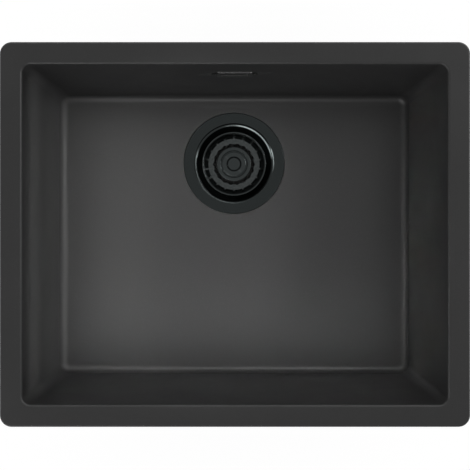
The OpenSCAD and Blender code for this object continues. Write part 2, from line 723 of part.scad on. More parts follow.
// The hose's surface at a distance s along it, at radius r and at angle a round it
function hose_point(s, r, a) =
    s <= drop_l ? [r * cos(a), hose_y + r * sin(a), hose_start_z - s]
    : s <= drop_l + bend_l
        ? let (t = (s - drop_l) / bend_r * 180 / PI, d = bend_r + r * sin(a))
            [r * cos(a), bend_y + d * cos(t), bend_z - d * sin(t)]
        : [r * cos(a), bend_y - (s - drop_l - bend_l), port_z - r * sin(a)];
hose_sides = 8;
rib_pitch = (hose_l - 2 * cuff_l) / hose_ribs;
collar_r = spigot_r - 0.1;
hose_stations = concat(
    [[0, collar_r], [collar_h, collar_r], [collar_h, hose_root_r], [cuff_l, hose_root_r]],
    [for (i = [0:hose_ribs - 1], half = [0.5, 1])
        [cuff_l + (i + half) * rib_pitch, half < 1 ? hose_r : hose_root_r]],
    [[hose_l - collar_h, hose_root_r], [hose_l - collar_h, collar_r], [hose_l, collar_r]],
    [[hose_l, hose_bore_r]],
    [for (i = [8:-1:0]) [drop_l + bend_l * i / 8, hose_bore_r]], [[0, hose_bore_r]]);
module overflow_hose() {
    n = len(hose_stations);
    color("#8a8d8f") polyhedron(
        points = [for (p = hose_stations, k = [0:hose_sides - 1])
            hose_point(p[0], p[1], (k + 0.5) * 360 / hose_sides)],
        faces = [for (i = [0:n - 1], k = [0:hose_sides - 1])
            let (m = (i + 1) % n, l = (k + 1) % hose_sides)
            each [[i * hose_sides + k, i * hose_sides + l, m * hose_sides + l],
                [i * hose_sides + k, m * hose_sides + l, m * hose_sides + k]]],
        convexity = 10);
}

// The unions' places: local z = 0 is the spigot's end face, and the hose runs off to local -Z
module at_top_union() { translate([0, hose_y, spigot_end_z]) children(); }
module at_bottom_union() { translate([0, drain_y + port_end, port_z]) rotate([90, 0, 0]) children(); }

// A union nut over a spigot's end, with a lip behind the hose's collar
nut_reach = 6;
lip_t = 2.2;
module union_nut() {
    low = -washer_h - collar_h - slip - lip_t;
    difference() {
        translate([0, 0, low]) linear_extrude(height = nut_reach - low) {
            circle(r = nut_r - nut_rib_r / 2);
            for (i = [0:11]) rotate([0, 0, i * 30]) translate([nut_r - nut_rib_r, 0])
                circle(r = nut_rib_r, $fn = 16);
        }
        translate([0, 0, low + lip_t]) cylinder(r = spigot_r + slip, h = nut_reach - low);
        translate([0, 0, low - overcut]) cylinder(r = hose_root_r + 0.2, h = lip_t + 2 * overcut);
    }
}

module union_washer() {
    translate([0, 0, -washer_h]) difference() {
        cylinder(r = collar_r, h = washer_h);
        translate([0, 0, -overcut]) cylinder(r = hose_bore_r, h = washer_h + 2 * overcut);
    }
}

module hose_nut_top() { color("#202020") at_top_union() union_nut(); }
module hose_nut_bottom() { color("#202020") at_bottom_union() union_nut(); }
module hose_washers() {
    color("#101010") {
        at_top_union() union_washer();
        at_bottom_union() union_washer();
    }
}

module wall_inserts() {
    color("goldenrod") for (i = [0:5]) at_station(i) translate([-insert_l, 0, fix_z]) rotate([0, 90, 0])
        difference() {
            cylinder(r = insert_r - slip, h = insert_l, $fn = 32);
            translate([0, 0, -overcut]) cylinder(r = fix_r + slip, h = insert_l + 2 * overcut, $fn = 32);
        }
}

// A bent strip: a leg on the pad and a rounded tab with a threaded boss for the clamp screw
bracket_w = 18;
bracket_r = 3;
web_t = 1.5;
web_drop = 14;
bracket_low_z = fix_z - pad_h / 2 + 1;
module clamp_bracket() {
    difference() {
        union() {
            translate([0, 0, (bracket_low_z + tab_z) / 2]) rotate([0, 90, 0])
                rounded_plate(tab_z - bracket_low_z, bracket_w, bracket_r, strip_t);
            translate([0, -bracket_w / 2, tab_z - 6]) cube([strip_t, bracket_w, 6]);
            translate([0, 0, tab_z - strip_t]) linear_extrude(height = strip_t) {
                translate([0, -bracket_w / 2]) square([screw_x, bracket_w]);
                translate([screw_x, 0]) intersection() {
                    circle(d = bracket_w);
                    square([2 * tab_end, bracket_w], center = true);
                }
            }
            translate([screw_x, 0, tab_z - strip_t - thread_h]) cylinder(r = claw_hub_r, h = thread_h);
            for (s = [-1, 1]) translate([0, s * (bracket_w / 2 - 1) + web_t / 2, tab_z]) rotate([90, 0, 0])
                linear_extrude(height = web_t)
                polygon([[1, -1], [screw_x, -1], [screw_x, -1 - strip_t], [1, -web_drop]]);
        }
        translate([screw_x, 0, tab_z - strip_t - thread_h - overcut])
            cylinder(r = screw_r + slip, h = strip_t + thread_h + 2 * overcut);
        translate([-overcut, 0, fix_z]) rotate([0, 90, 0])
            cylinder(r = fix_r + 0.3, h = strip_t + 2 * overcut);
    }
}
module clamp_brackets() {
    color("silver") for (i = [0:5]) at_station(i) clamp_bracket();
}

module bracket_screws() {
    color("silver") for (i = [0:5]) at_station(i) translate([strip_t, 0, fix_z]) rotate([0, 90, 0])
        difference() {
            union() {
                cylinder(r = fix_head_r, h = fix_head_t - 1, $fn = 32);
                cylinder(r = fix_head_r - 1, h = fix_head_t, $fn = 32);
                translate([0, 0, 1 - insert_l - strip_t])
                    cylinder(r = fix_r, h = insert_l + strip_t, $fn = 32);
            }
            translate([0, 0, fix_head_t - cross_depth]) cross(2 * fix_head_r - 4);
        }
}

// A clamp screw: threaded shank, a head with a cross at its foot, and a collar and ring that hold the claw
module clamp_screw(i) {
    color("silver") at_station(i) translate([screw_x, 0, 0]) difference() {
        union() {
            translate([0, 0, head_z - overcut])
                cylinder(r = screw_r, h = hub_z + claw_t + ring_t + overcut - head_z);
            translate([0, 0, hub_z - collar_t]) cylinder(r = claw_hub_r - 0.5, h = collar_t);
            translate([0, 0, hub_z + claw_t + slip]) cylinder(r = ring_r, h = ring_t);
            translate([0, 0, head_z - head_t]) cylinder(r = head_r, h = head_t);
        }
        translate([0, 0, head_z - head_t + cross_depth]) rotate([180, 0, 0]) cross(2 * head_r - 2);
    }
}

// A claw: a hub round the screw and a stepped arm with three teeth, parked along the bowl's wall
tooth_pitch = 3;
module claw(i) {
    rise_u = claw_reach - 3 * tooth_pitch - 3;
    tip_h = claw_step + claw_t;
    color("#b5b7b8") at_station(i) translate([screw_x, 0, hub_z]) difference() {
        union() {
            cylinder(r = claw_hub_r, h = claw_t);
            rotate([90, 0, -90]) translate([0, 0, -claw_hub_r]) linear_extrude(height = 2 * claw_hub_r)
                polygon(concat(
                    [[0, 0], [rise_u, 0], [rise_u + claw_step, claw_step], [claw_reach, claw_step]],
                    [for (k = [0:2]) each [
                        [claw_reach - k * tooth_pitch, tip_h + claw_tooth_h],
                        [claw_reach - (k + 0.9) * tooth_pitch, tip_h]]],
                    [[rise_u + claw_step - 1, tip_h], [rise_u - 1, claw_t], [0, claw_t]]));
        }
        translate([0, 0, -overcut]) cylinder(r = screw_r + slip, h = claw_t + 2 * overcut);
    }
}

bowl();
rim_seal();
strainer_well();
flange_gasket();
floor_washer();
waste_body();
clamp_nut();
clamp_bolt();
basket_cup();
basket_knob();
basket_stud();
basket_stopper();
basket_nut();
overflow_cover();
overflow_gasket();
overflow_housing();
overflow_hose();
hose_nut_top();
hose_nut_bottom();
hose_washers();
wall_inserts();
clamp_brackets();
bracket_screws();
clamp_screw(0);  // clamp_screw_1
clamp_screw(1);  // clamp_screw_2
clamp_screw(2);  // clamp_screw_3
clamp_screw(3);  // clamp_screw_4
clamp_screw(4);  // clamp_screw_5
clamp_screw(5);  // clamp_screw_6
claw(0);  // claw_1
claw(1);  // claw_2
claw(2);  // claw_3
claw(3);  // claw_4
claw(4);  // claw_5
claw(5);  // claw_6
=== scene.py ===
"""A granite composite inset sink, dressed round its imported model.

Lengths in the dataclasses are millimetres, as on a maker's drawing; meshes are built in metres.
"""
import sys
import logging
import math
from collections.abc import Callable, Iterable, Sequence
from dataclasses import dataclass, field
from enum import Enum

import bpy
from mathutils import Matrix, Vector


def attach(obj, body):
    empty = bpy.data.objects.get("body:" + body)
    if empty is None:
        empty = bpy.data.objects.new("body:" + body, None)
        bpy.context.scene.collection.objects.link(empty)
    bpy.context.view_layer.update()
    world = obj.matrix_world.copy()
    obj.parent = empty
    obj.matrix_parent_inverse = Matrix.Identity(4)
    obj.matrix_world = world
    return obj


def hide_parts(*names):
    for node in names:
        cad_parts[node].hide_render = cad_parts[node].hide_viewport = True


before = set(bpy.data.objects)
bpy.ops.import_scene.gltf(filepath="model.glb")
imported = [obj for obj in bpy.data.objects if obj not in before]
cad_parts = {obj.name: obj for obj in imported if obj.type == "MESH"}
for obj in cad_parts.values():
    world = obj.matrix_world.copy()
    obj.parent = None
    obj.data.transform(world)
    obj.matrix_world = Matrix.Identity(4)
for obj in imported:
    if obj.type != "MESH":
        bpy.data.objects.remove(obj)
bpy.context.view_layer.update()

LOG = logging.getLogger("sink")
MM = 0.001
Pair = tuple[float, float]
Triple = tuple[float, float, float]
Ring = list[Triple]
Outline = Callable[[float], list[Pair]]
Piece, Material = bpy.types.Object, bpy.types.Material
Tree, Node, Socket = bpy.types.NodeTree, bpy.types.Node, bpy.types.NodeSocket


class Slot(Enum):
    """The record's material slots."""

    GRANITE = "granite"
    FOAM = "foam"
    BLACK_STEEL = "black_steel"
    RUBBER = "rubber"
    PLASTIC = "plastic"
    HOSE = "hose_plastic"
    BRASS = "brass"
    STAINLESS = "stainless"
    ZINC = "zinc_steel"


class Cut(Enum):
    """How one mesh is combined with another."""

    TAKE = "DIFFERENCE"
    ADD = "UNION"


# Shader node graphs


class Graph:
    """Adds and joins nodes in one node tree."""

    def __init__(self, tree: Tree) -> None:
        """Work on a tree that may already hold nodes."""
        self.tree = tree

    def add(self, kind: str, inputs: dict | None = None, **settings: object) -> Node:
        """Add a node.

        Args:
            kind: The node's type name.
            inputs: Socket name or number to a plain value or to an output socket.
            settings: Properties set on the node before its inputs.

        Returns:
            The new node.
        """
        node = self.tree.nodes.new(kind)
        for key, value in settings.items():
            setattr(node, key, value)
        for key, value in (inputs or {}).items():
            if isinstance(value, Socket):
                self.tree.links.new(value, node.inputs[key])
            else:
                node.inputs[key].default_value = value
        return node

    def math(self, operation: str, a: object, b: object = 0.0, clamp: bool = False) -> Socket:
        """Combine two values and return the result's socket."""
        return self.add("ShaderNodeMath", {0: a, 1: b}, operation=operation, use_clamp=clamp).outputs[0]

    def times(self, a: object, b: object) -> Socket:
        """Return the product of two values."""
        return self.math("MULTIPLY", a, b)

    def plus(self, a: object, b: object) -> Socket:
        """Return the sum of two values."""
        return self.math("ADD", a, b)

    def minus(self, a: object, b: object) -> Socket:
        """Return the first value less the second."""
        return self.math("SUBTRACT", a, b)

    def spread(self, value: object, low: object, high: object, new_low: float, new_high: float) -> Socket:
        """Map a value from one range to another, held inside the new one."""
        inputs = {"Value": value, "From Min": low, "From Max": high, "To Min": new_low, "To Max": new_high}
        return self.add("ShaderNodeMapRange", inputs).outputs["Result"]

    def step(self, value: object, level: float, blur: float, below: float, above: float) -> Socket:
        """Return one number below a level and another above it, blended a little way to either side."""
        return self.spread(value, level - blur, level + blur, below, above)

    def mix(self, factor: object, a: object, b: object) -> Socket:
        """Mix two colours by a factor."""
        return self.add("ShaderNodeMix", {0: factor, 6: a, 7: b}, data_type="RGBA").outputs[2]

    def vector(self, **parts: object) -> Socket:
        """Return a vector put together from its X, Y and Z."""
        return self.add("ShaderNodeCombineXYZ", parts).outputs[0]

    def place(self) -> Socket:
        """Return the coordinates of the piece itself."""
        return self.add("ShaderNodeTexCoord").outputs["Object"]

    def noise(self, scale: object, detail: float, **more: float) -> Socket:
        """Return noise that fills the piece's own space."""
        inputs = {"Vector": self.place(), "Scale": scale, "Detail": detail, **more}
        return self.add("ShaderNodeTexNoise", inputs).outputs["Fac"]

    def group(self, tree: Tree, **values: float) -> bpy.types.NodeOutputs:
        """Place a node group and return its outputs; an underscore in a name stands for a space."""
        inputs = {label.replace("_", " "): value for label, value in values.items()}
        return self.add("ShaderNodeGroup", inputs, node_tree=tree).outputs

    def results(self, **values: Socket) -> Tree:
        """Close a shader group, with one plain number put out under each name, and return its tree."""
        for label in values:
            self.tree.interface.new_socket(label, in_out="OUTPUT", socket_type="NodeSocketFloat")
        self.add("NodeGroupOutput", values)
        return self.tree


def shader_group(name: str, **inputs: float) -> tuple[Graph, bpy.types.NodeOutputs]:
    """Start a shader node group whose inputs are plain numbers.

    Args:
        name: The group's name.
        inputs: Each input's name and starting value; an underscore stands for a space.

    Returns:
        A graph on the group's tree, and the group's inputs as sockets to draw from.
    """
    graph = Graph(bpy.data.node_groups.new(name, "ShaderNodeTree"))
    for label, value in inputs.items():
        socket = graph.tree.interface.new_socket(label.replace("_", " "), in_out="INPUT",
                                                 socket_type="NodeSocketFloat")
        socket.default_value = value
    return graph, graph.add("NodeGroupInput").outputs


class Effects:
    """The surface effects that several finishes share, each built once as a node group."""

    def __init__(self) -> None:
        """Build every group."""
        self.grain = self._grain()
        self.wear = self._wear()
        self.film = self._film()
        self.turning = self._turning()

    @staticmethod
    def _grain() -> Tree:
        """Fine mineral or moulded grain: a tone round 1, a sparse fleck mask and a height."""
        g, given = shader_group("Grain", Scale=900.0, Depth=0.1, Fleck_Scale=700.0, Fleck_Share=0.1)
        fine = g.noise(given["Scale"], 4.0, Roughness=0.65)
        cells = g.add("ShaderNodeTexVoronoi", {"Vector": g.place(), "Scale": given["Fleck Scale"]}).outputs
        swing = g.times(g.minus(fine, 0.5), given["Depth"])
        drift = g.times(g.minus(g.noise(14.0, 2.0), 0.5), 0.05)
        chance = g.add("ShaderNodeSeparateColor", {0: cells["Color"]}).outputs[0]
        chosen = g.math("LESS_THAN", chance, given["Fleck Share"])
        near = g.spread(cells["Distance"], 0.18, 0.42, 1.0, 0.0)
        return g.results(Tone=g.plus(g.plus(1.0, swing), drift), Fleck=g.times(chosen, near), Height=fine)

    @staticmethod
    def _wear() -> Tree:
        """A mask of rubbed outer edges, broken up by noise."""
        g, given = shader_group("Edge Wear", Reach=0.04, Scale=260.0)
        point = g.add("ShaderNodeNewGeometry").outputs["Pointiness"]
        edge = g.math("DIVIDE", g.minus(point, 0.505), given["Reach"], clamp=True)
        return g.results(Mask=g.times(edge, g.spread(g.noise(given["Scale"], 3.0), 0.35, 0.7, 0.1, 1.0)))

    @staticmethod
    def _film() -> Tree:
        """A thin uneven film, as of water marks or handling: a value from 0 to 1."""
        g, given = shader_group("Film", Scale=40.0, Sharpness=0.5)
        patches = g.noise(given["Scale"], 5.0, Roughness=0.6, Distortion=0.6)
        low = g.times(given["Sharpness"], 0.5)
        return g.results(Mask=g.spread(patches, low, g.minus(1.0, low), 0.0, 1.0))

    @staticmethod
    def _turning() -> Tree:
        """Fine rings left by turning or polishing round a vertical axis through the texture's origin."""
        g, given = shader_group("Turning Marks", Across=0.0, Along=0.0, Pitch=1500.0)
        axis = g.vector(X=given["Across"], Y=given["Along"])
        offset = g.add("ShaderNodeVectorMath", {0: g.place(), 1: axis}, operation="SUBTRACT")
        parts = g.add("ShaderNodeSeparateXYZ", {0: offset.outputs[0]}).outputs
        radius = g.math("SQRT", g.plus(g.math("POWER", parts["X"], 2.0), g.math("POWER", parts["Y"], 2.0)))
        line = g.plus(g.times(radius, given["Pitch"]), g.times(parts["Z"], given["Pitch"]))
        noise = g.add("ShaderNodeTexNoise", {"W": line, "Scale": 1.0, "Detail": 2.0}, noise_dimensions="1D")
        return g.results(Mark=noise.outputs["Fac"], Radius=radius, Level=parts["Z"])


@dataclass(frozen=True)
class Finish:
    """One finish of the sink: its colour, gloss and relief.

    The subclasses add what one family of materials shows.
    """

    slot: Slot
    colour: Triple
    roughness: float
    metallic: float = 0.0
    specular: float = 0.5
    relief: float = 0.00004

    def material(self, effects: Effects) -> Material:
        """Build the material.

        Args:
            effects: The shared node groups.

        Returns:
            A material named after the finish's slot.
        """
        made = bpy.data.materials.new("finish_" + self.slot.value)
        made.use_nodes = True
        made.diffuse_color = (*self.colour, 1.0)
        g = Graph(made.node_tree)
        shader = made.node_tree.nodes["Principled BSDF"]
        shader.inputs["Metallic"].default_value = self.metallic
        shader.inputs["Specular IOR Level"].default_value = self.specular
        colour, roughness, height = self.surface(g, effects)
        bump = g.add("ShaderNodeBump", {"Strength": 1.0, "Distance": self.relief, "Height": height})
        for source, label in ((colour, "Base Color"), (roughness, "Roughness"), (bump.outputs[0], "Normal")):
            g.tree.links.new(source, shader.inputs[label])
        return made

    def surface(self, g: Graph, effects: Effects) -> tuple[Socket, Socket, Socket]:
        """Draw what the finish shows.

        Args:
            g: The material's graph.
            effects: The shared node groups.

        Returns:
            The sockets of the colour, the roughness and the height.
        """
        raise NotImplementedError

    def toned(self, g: Graph, tone: Socket) -> Socket:
        """Return the finish's colour multiplied by a tone."""
        return g.add("ShaderNodeVectorMath", {0: self.colour, "Scale": tone}, operation="SCALE").outputs[0]

    def paler(self, gain: float, lift: float) -> tuple[float, ...]:
        """Return the finish's colour as it looks where it is rubbed, with its alpha."""
        return (*(min(1.0, gain * c + lift) for c in self.colour), 1.0)

    def gloss(self, g: Graph, film: Socket, less: float, more: float) -> Socket:
        """Return the roughness, spread by a film to less and more than the finish's own."""
        return g.spread(film, 0.0, 1.0, self.roughness - less, self.roughness + more)


@dataclass(frozen=True)
class GraniteFinish(Finish):
    """Black quartz and resin composite: fine grain, sparse lighter flecks, and paler rubbed edges that also
    paint the lip's highlight.
    """

    fleck_colour: Triple = (0.085, 0.087, 0.09)
    fleck_share: float = 0.35
    wear_and_highlight_share: float = 0.5
    polish: float = 0.1

    def surface(self, g: Graph, effects: Effects) -> tuple[Socket, Socket, Socket]:
        """Return the sockets of the colour, the roughness and the height."""
        grain = g.group(effects.grain, Scale=1900.0, Depth=0.3, Fleck_Scale=1300.0, Fleck_Share=0.07)
        wear = g.group(effects.wear, Reach=0.12, Scale=180.0)["Mask"]
        film = g.group(effects.film, Scale=9.0, Sharpness=0.4)["Mask"]
        pale = (*self.fleck_colour, 1.0)
        flecked = g.mix(g.times(grain["Fleck"], self.fleck_share), self.toned(g, grain["Tone"]), pale)
        # Pale edges: partly wear, partly a painted highlight along the bowl's lip
        worn_and_highlit = g.mix(g.times(wear, self.wear_and_highlight_share), flecked, pale)
        rubbed = g.plus(g.times(grain["Fleck"], self.polish), g.times(wear, self.polish))
        return worn_and_highlit, g.minus(self.gloss(g, film, 0.04, 0.05), rubbed), grain["Height"]


@dataclass(frozen=True)
class PlatedFinish(Finish):
    """Polished stainless steel under a black plating, paler on the basket, with painted shade darkening the
    well's wall and its depth.
    """

    centre: Pair = (0.0, 0.0)
    basket_radius: float = 0.0442
    basket_tone: float = 1.35
    # Painted shade: past this radius and below these levels the colour is darkened to this share
    well_shade_radius: float = 0.0369
    shade_levels: Pair = (-0.2049, -0.2169)
    painted_shade_share: float = 0.12
    steel: Triple = (0.32, 0.33, 0.33)

    def surface(self, g: Graph, effects: Effects) -> tuple[Socket, Socket, Socket]:
        """Return the sockets of the colour, the roughness and the height."""
        across, along = self.centre
        marks = g.group(effects.turning, Across=across, Along=along, Pitch=2600.0)
        film = g.group(effects.film, Scale=55.0, Sharpness=0.5)["Mask"]
        wear = g.group(effects.wear, Reach=0.06, Scale=500.0)["Mask"]
        radius, mark = marks["Radius"], marks["Mark"]
        plating = g.step(radius, self.basket_radius, 0.0004, self.basket_tone, 1.0)
        # Painted shade: below the ledge on the well's wall, and everywhere below the basket's floor, the
        # colour drops to a small share where shade falls in the well
        under, deep = [g.step(marks["Level"], z, 0.0003, 1.0, 0.0) for z in self.shade_levels]
        shaded_wall = g.times(under, g.step(radius, self.well_shade_radius, 0.0003, 0.0, 1.0))
        painted_shade_factor = g.spread(g.math("MAXIMUM", shaded_wall, deep), 0.0, 1.0, 1.0, self.painted_shade_share)
        tone = g.times(g.spread(mark, 0.3, 0.7, 0.92, 1.08), g.times(plating, painted_shade_factor))
        rubbed = g.mix(g.times(g.times(wear, 0.1), painted_shade_factor), self.toned(g, tone), (*self.steel, 1.0))
        return rubbed, self.gloss(g, film, 0.04, 0.06), mark


@dataclass(frozen=True)
class MouldedFinish(Finish):
    """Moulded plastic or rubber: a fine spark-eroded grain, with handling marks in the gloss."""

    grain_scale: float = 2200.0
    haze: float = 0.08

    def surface(self, g: Graph, effects: Effects) -> tuple[Socket, Socket, Socket]:
        """Return the sockets of the colour, the roughness and the height."""
        grain = g.group(effects.grain, Scale=self.grain_scale, Depth=0.22, Fleck_Scale=400.0, Fleck_Share=0.0)
        wear = g.group(effects.wear, Reach=0.08, Scale=300.0)["Mask"]
        film = g.group(effects.film, Scale=30.0, Sharpness=0.3)["Mask"]
        scuffed = g.mix(g.times(wear, 0.3), self.toned(g, grain["Tone"]), self.paler(1.5, 0.012))
        return scuffed, self.gloss(g, film, self.haze, self.haze), grain["Height"]


@dataclass(frozen=True)
class MetalFinish(Finish):
    """Bright, zinc plated or turned metal, with a cloudy bloom and rubbed edges."""

    bloom: Triple = (0.5, 0.5, 0.5)
    bloom_share: float = 0.35

    def surface(self, g: Graph, effects: Effects) -> tuple[Socket, Socket, Socket]:
        """Return the sockets of the colour, the roughness and the height."""
        grain = g.group(effects.grain, Scale=2600.0, Depth=0.3, Fleck_Scale=500.0, Fleck_Share=0.0)
        wear = g.group(effects.wear, Reach=0.08, Scale=400.0)["Mask"]
        film = g.group(effects.film, Scale=120.0, Sharpness=0.45)["Mask"]
        clouded = g.mix(g.times(film, self.bloom_share), self.toned(g, grain["Tone"]), (*self.bloom, 1.0))
        rubbed = g.mix(g.times(wear, 0.4), clouded, self.paler(1.25, 0.0))
        return rubbed, self.gloss(g, film, 0.07, 0.1), grain["Height"]


# Meshes


def linked(name: str, data: bpy.types.ID) -> Piece:
    """Put an object that has this data into the scene."""
    made = bpy.data.objects.new(name, data)
    bpy.context.scene.collection.objects.link(made)
    return made


def new_object(name: str, points: Iterable[Sequence[float]], faces: Iterable[Sequence[int]] = (),
               edges: Iterable[Sequence[int]] = ()) -> Piece:
    """Make a mesh object at the origin.

    Args:
        name: The object's name.
        points: Its points, in millimetres.
        faces: The numbers of each face's points, counter-clockwise from outside.
        edges: The numbers of each loose edge's points.

    Returns:
        The new object.
    """
    mesh = bpy.data.meshes.new(name)
    mesh.from_pydata([(x * MM, y * MM, z * MM) for x, y, z in points], list(edges), list(faces))
    mesh.update()
    return linked(name, mesh)


def stitched(name: str, rings: Sequence[Ring], closed: bool = False, capped: bool = True) -> Piece:
    """Join rings of equal length into a skin.

    Args:
        name: The object's name.
        rings: The rings, each counter-clockwise seen from where the stack is heading.
        closed: Whether the last ring joins the first one, as in a tube bent round on itself.
        capped: Whether the ends of an open stack are closed with a fan.

    Returns:
        The new object.
    """
    count = len(rings[0])
    points = [p for ring in rings for p in ring]
    faces: list[tuple[int, ...]] = []
    for i in range(len(rings) if closed else len(rings) - 1):
        low, high = i * count, (i + 1) % len(rings) * count
        faces += [(low + j, low + (j + 1) % count, high + (j + 1) % count, high + j) for j in range(count)]
    if capped and not closed:
        for ring, base, turned in ((rings[0], 0, True), (rings[-1], (len(rings) - 1) * count, False)):
            hub = len(points)
            points.append(tuple(sum(p[k] for p in ring) / count for k in range(3)))
            for j in range(count):
                pair = (base + (j + 1) % count, base + j) if turned else (base + j, base + (j + 1) % count)
                faces.append((*pair, hub))
    return new_object(name, points, faces)


def filleted(corners: Sequence[Sequence[float]], steps: int = 5) -> list[Pair]:
    """Round the corners of an outline.

    Args:
        corners: Points (a, b) or (a, b, radius); a corner without a radius stays sharp.
        steps: How many segments each arc has.

    Returns:
        The outline's points.
    """
    out: list[Pair] = []
    for i, corner in enumerate(corners):
        here = Vector(corner[:2])
        if len(corner) < 3:
            out.append(tuple(here))
            continue
        back = Vector(corners[i - 1][:2]) - here
        ahead = Vector(corners[(i + 1) % len(corners)][:2]) - here
        half = back.angle(ahead) / 2
        if half > math.radians(88):
            out.append(tuple(here))
            continue
        reach = min(corner[2] / math.tan(half), 0.48 * back.length, 0.48 * ahead.length)
        radius = reach * math.tan(half)
        centre = here + (back.normalized() + ahead.normalized()).normalized() * (radius / math.sin(half))
        start = here + back.normalized() * reach - centre
        sweep = start.angle_signed(here + ahead.normalized() * reach - centre)
        out += [tuple(centre + Matrix.Rotation(-sweep * k / steps, 2) @ start) for k in range(steps + 1)]
    return out


def revolved(name: str, outline: Sequence[Sequence[float]], centre: Sequence[float] = (0.0, 0.0),
             segments: int = 128) -> Piece:
    """Turn an outline (radius, height) round a vertical axis.

    Args:
        name: The object's name.
        outline: Points in millimetres, counter-clockwise with the radius to the right; points
            with radius 0 lie on the axis and may only be the first and the last.
        centre: The axis, in millimetres.
        segments: How many faces go round.

    Returns:
        The new object, closed and facing outwards.
    """
    turns = [math.tau * j / segments for j in range(segments)]
    rings = [[(centre[0] + x, centre[1] + y, z) for x, y in (polar(r, a) for a in turns)]
             for r, z in outline if r > 1e-6]
    if len(rings) == len(outline):
        return stitched(name, rings, closed=True)
    made = stitched(name, rings, capped=False)
    points = [v.co / MM for v in made.data.vertices]
    faces = [tuple(p.vertices) for p in made.data.polygons]
    last = (len(rings) - 1) * segments
    points += [(*centre, outline[0][1]), (*centre, outline[-1][1])]
    low, high = len(points) - 2, len(points) - 1
    for j in range(segments):
        k = (j + 1) % segments
        faces += [(k, j, low), (last + j, last + k, high)]
    bpy.data.objects.remove(made)
    return new_object(name, points, faces)


def extruded(name: str, outline: Sequence[Pair], low: float, high: float,
             place: Matrix | None = None) -> Piece:
    """Extrude an outline.

    Args:
        name: The object's name.
        outline: Its points in millimetres, counter-clockwise.
        low: The local height where the piece starts, in millimetres.
        high: The height where it ends.
        place: Where the piece is put, in millimetres.

    Returns:
        The new object.
    """
    count = len(outline)
    place = place or Matrix.Identity(4)
    points = [tuple(place @ Vector((x, y, z))) for z in (low, high) for x, y in outline]
    faces = [(j, (j + 1) % count, count + (j + 1) % count, count + j) for j in range(count)]
    faces += [tuple(range(count - 1, -1, -1)), tuple(range(count, 2 * count))]
    return new_object(name, points, faces)


def baked(made: Piece) -> Piece:
    """Apply every modifier of a piece into its mesh.

    Args:
        made: The piece.

    Returns:
        The same piece, with no modifier left.
    """
    graph = bpy.context.evaluated_depsgraph_get()
    mesh = bpy.data.meshes.new_from_object(made.evaluated_get(graph), depsgraph=graph)
    made.modifiers.clear()
    old = made.data
    made.data = mesh
    mesh.name = made.name
    bpy.data.meshes.remove(old)
    return made


def combined(made: Piece, other: Piece, how: Cut) -> Piece:
    """Cut one closed mesh with another, or add it.

    Args:
        made: The mesh that is changed.
        other: The mesh that changes it, which is deleted.
        how: Whether the other mesh is taken away or added.

    Returns:
        The changed piece.
    """
    change = made.modifiers.new("combine", "BOOLEAN")
    change.operation = how.value
    change.object = other
    change.solver = "EXACT"
    baked(made)
    bpy.data.objects.remove(other)
    return made


def joined(name: str, pieces: Sequence[Piece]) -> Piece:
    """Put several meshes into one object.

    Args:
        name: The new object's name.
        pieces: The meshes, which are deleted.

    Returns:
        The new object.
    """
    points: list[Vector] = []
    faces: list[tuple[int, ...]] = []
    for piece in pieces:
        base = len(points)
        points += [v.co / MM for v in piece.data.vertices]
        faces += [tuple(base + i for i in p.vertices) for p in piece.data.polygons]
        bpy.data.objects.remove(piece)
    return new_object(name, points, faces)


def softened(made: Piece, width: float, angle: float = 32.0) -> Piece:
    """Bevel a piece's sharp edges.

    Args:
        made: The piece.
        width: The bevel's width, in millimetres.
        angle: Edges sharper than this, in degrees, are bevelled.

    Returns:
        The same piece.
    """
    bevel = made.modifiers.new("soften", "BEVEL")
    bevel.width = width * MM
    bevel.segments = 2
    bevel.limit_method = "ANGLE"
    bevel.angle_limit = math.radians(angle)
    bevel.use_clamp_overlap = True
    return baked(made)


def shaded(made: Piece, angle: float) -> Piece:
    """Shade a piece smooth, with its broad faces kept flat.

    Args:
        made: The piece.
        angle: Edges sharper than this, in degrees, stay crisp.

    Returns:
        The same piece.
    """
    made.data.shade_smooth()
    made.data.set_sharp_from_angle(angle=math.radians(angle))
    made.modifiers.new("weigh", "WEIGHTED_NORMAL").keep_sharp = True
    return baked(made)


# Geometry node trees, for what repeats


class Recipe:
    """A geometry node tree with named inputs, run on demand and turned into a plain mesh."""

    def __init__(self, name: str, **inputs: float) -> None:
        """Start the tree.

        Args:
            name: The tree's name.
            inputs: Each input's name and starting value; a whole number makes a whole-number input.
        """
        self.tree = bpy.data.node_groups.new(name, "GeometryNodeTree")
        self.tree.is_modifier = True
        self.keys: dict[str, str] = {}
        self.socket("Geometry", "Geometry")
        for label, value in inputs.items():
            self.socket(label, "Int" if isinstance(value, int) else "Float").default_value = value
        self.socket("Material", "Material")
        self.tree.interface.new_socket("Geometry", in_out="OUTPUT", socket_type="NodeSocketGeometry")
        self.graph = Graph(self.tree)
        self.given = self.graph.add("NodeGroupInput").outputs

    def socket(self, label: str, kind: str) -> bpy.types.NodeTreeInterfaceSocket:
        """Give the tree an input and note the key that a modifier knows it by."""
        made = self.tree.interface.new_socket(label, in_out="INPUT", socket_type="NodeSocket" + kind)
        self.keys[label] = made.identifier
        return made

    def end(self, geometry: Socket) -> "Recipe":
        """Make instances real, set the material and put the result out.

        Args:
            geometry: What the tree has made.

        Returns:
            The recipe.
        """
        real = self.graph.add("GeometryNodeRealizeInstances", {0: geometry}).outputs[0]
        inputs = {"Geometry": real, "Material": self.given["Material"]}
        dressed = self.graph.add("GeometryNodeSetMaterial", inputs).outputs[0]
        self.graph.add("NodeGroupOutput", {"Geometry": dressed})
        return self

    def run(self, source: Piece, material: Material, **values: float) -> Piece:
        """Run the tree on an object and keep the result as its mesh.

        Args:
            source: The object that the tree starts from; its mesh is replaced.
            material: The finish of the result.
            values: The named inputs.

        Returns:
            The same object, with the modifier removed.
        """
        change = source.modifiers.new("recipe", "NODES")
        change.node_group = self.tree
        change[self.keys["Material"]] = material
        for label, value in values.items():
            change[self.keys[label]] = value
        return baked(source)


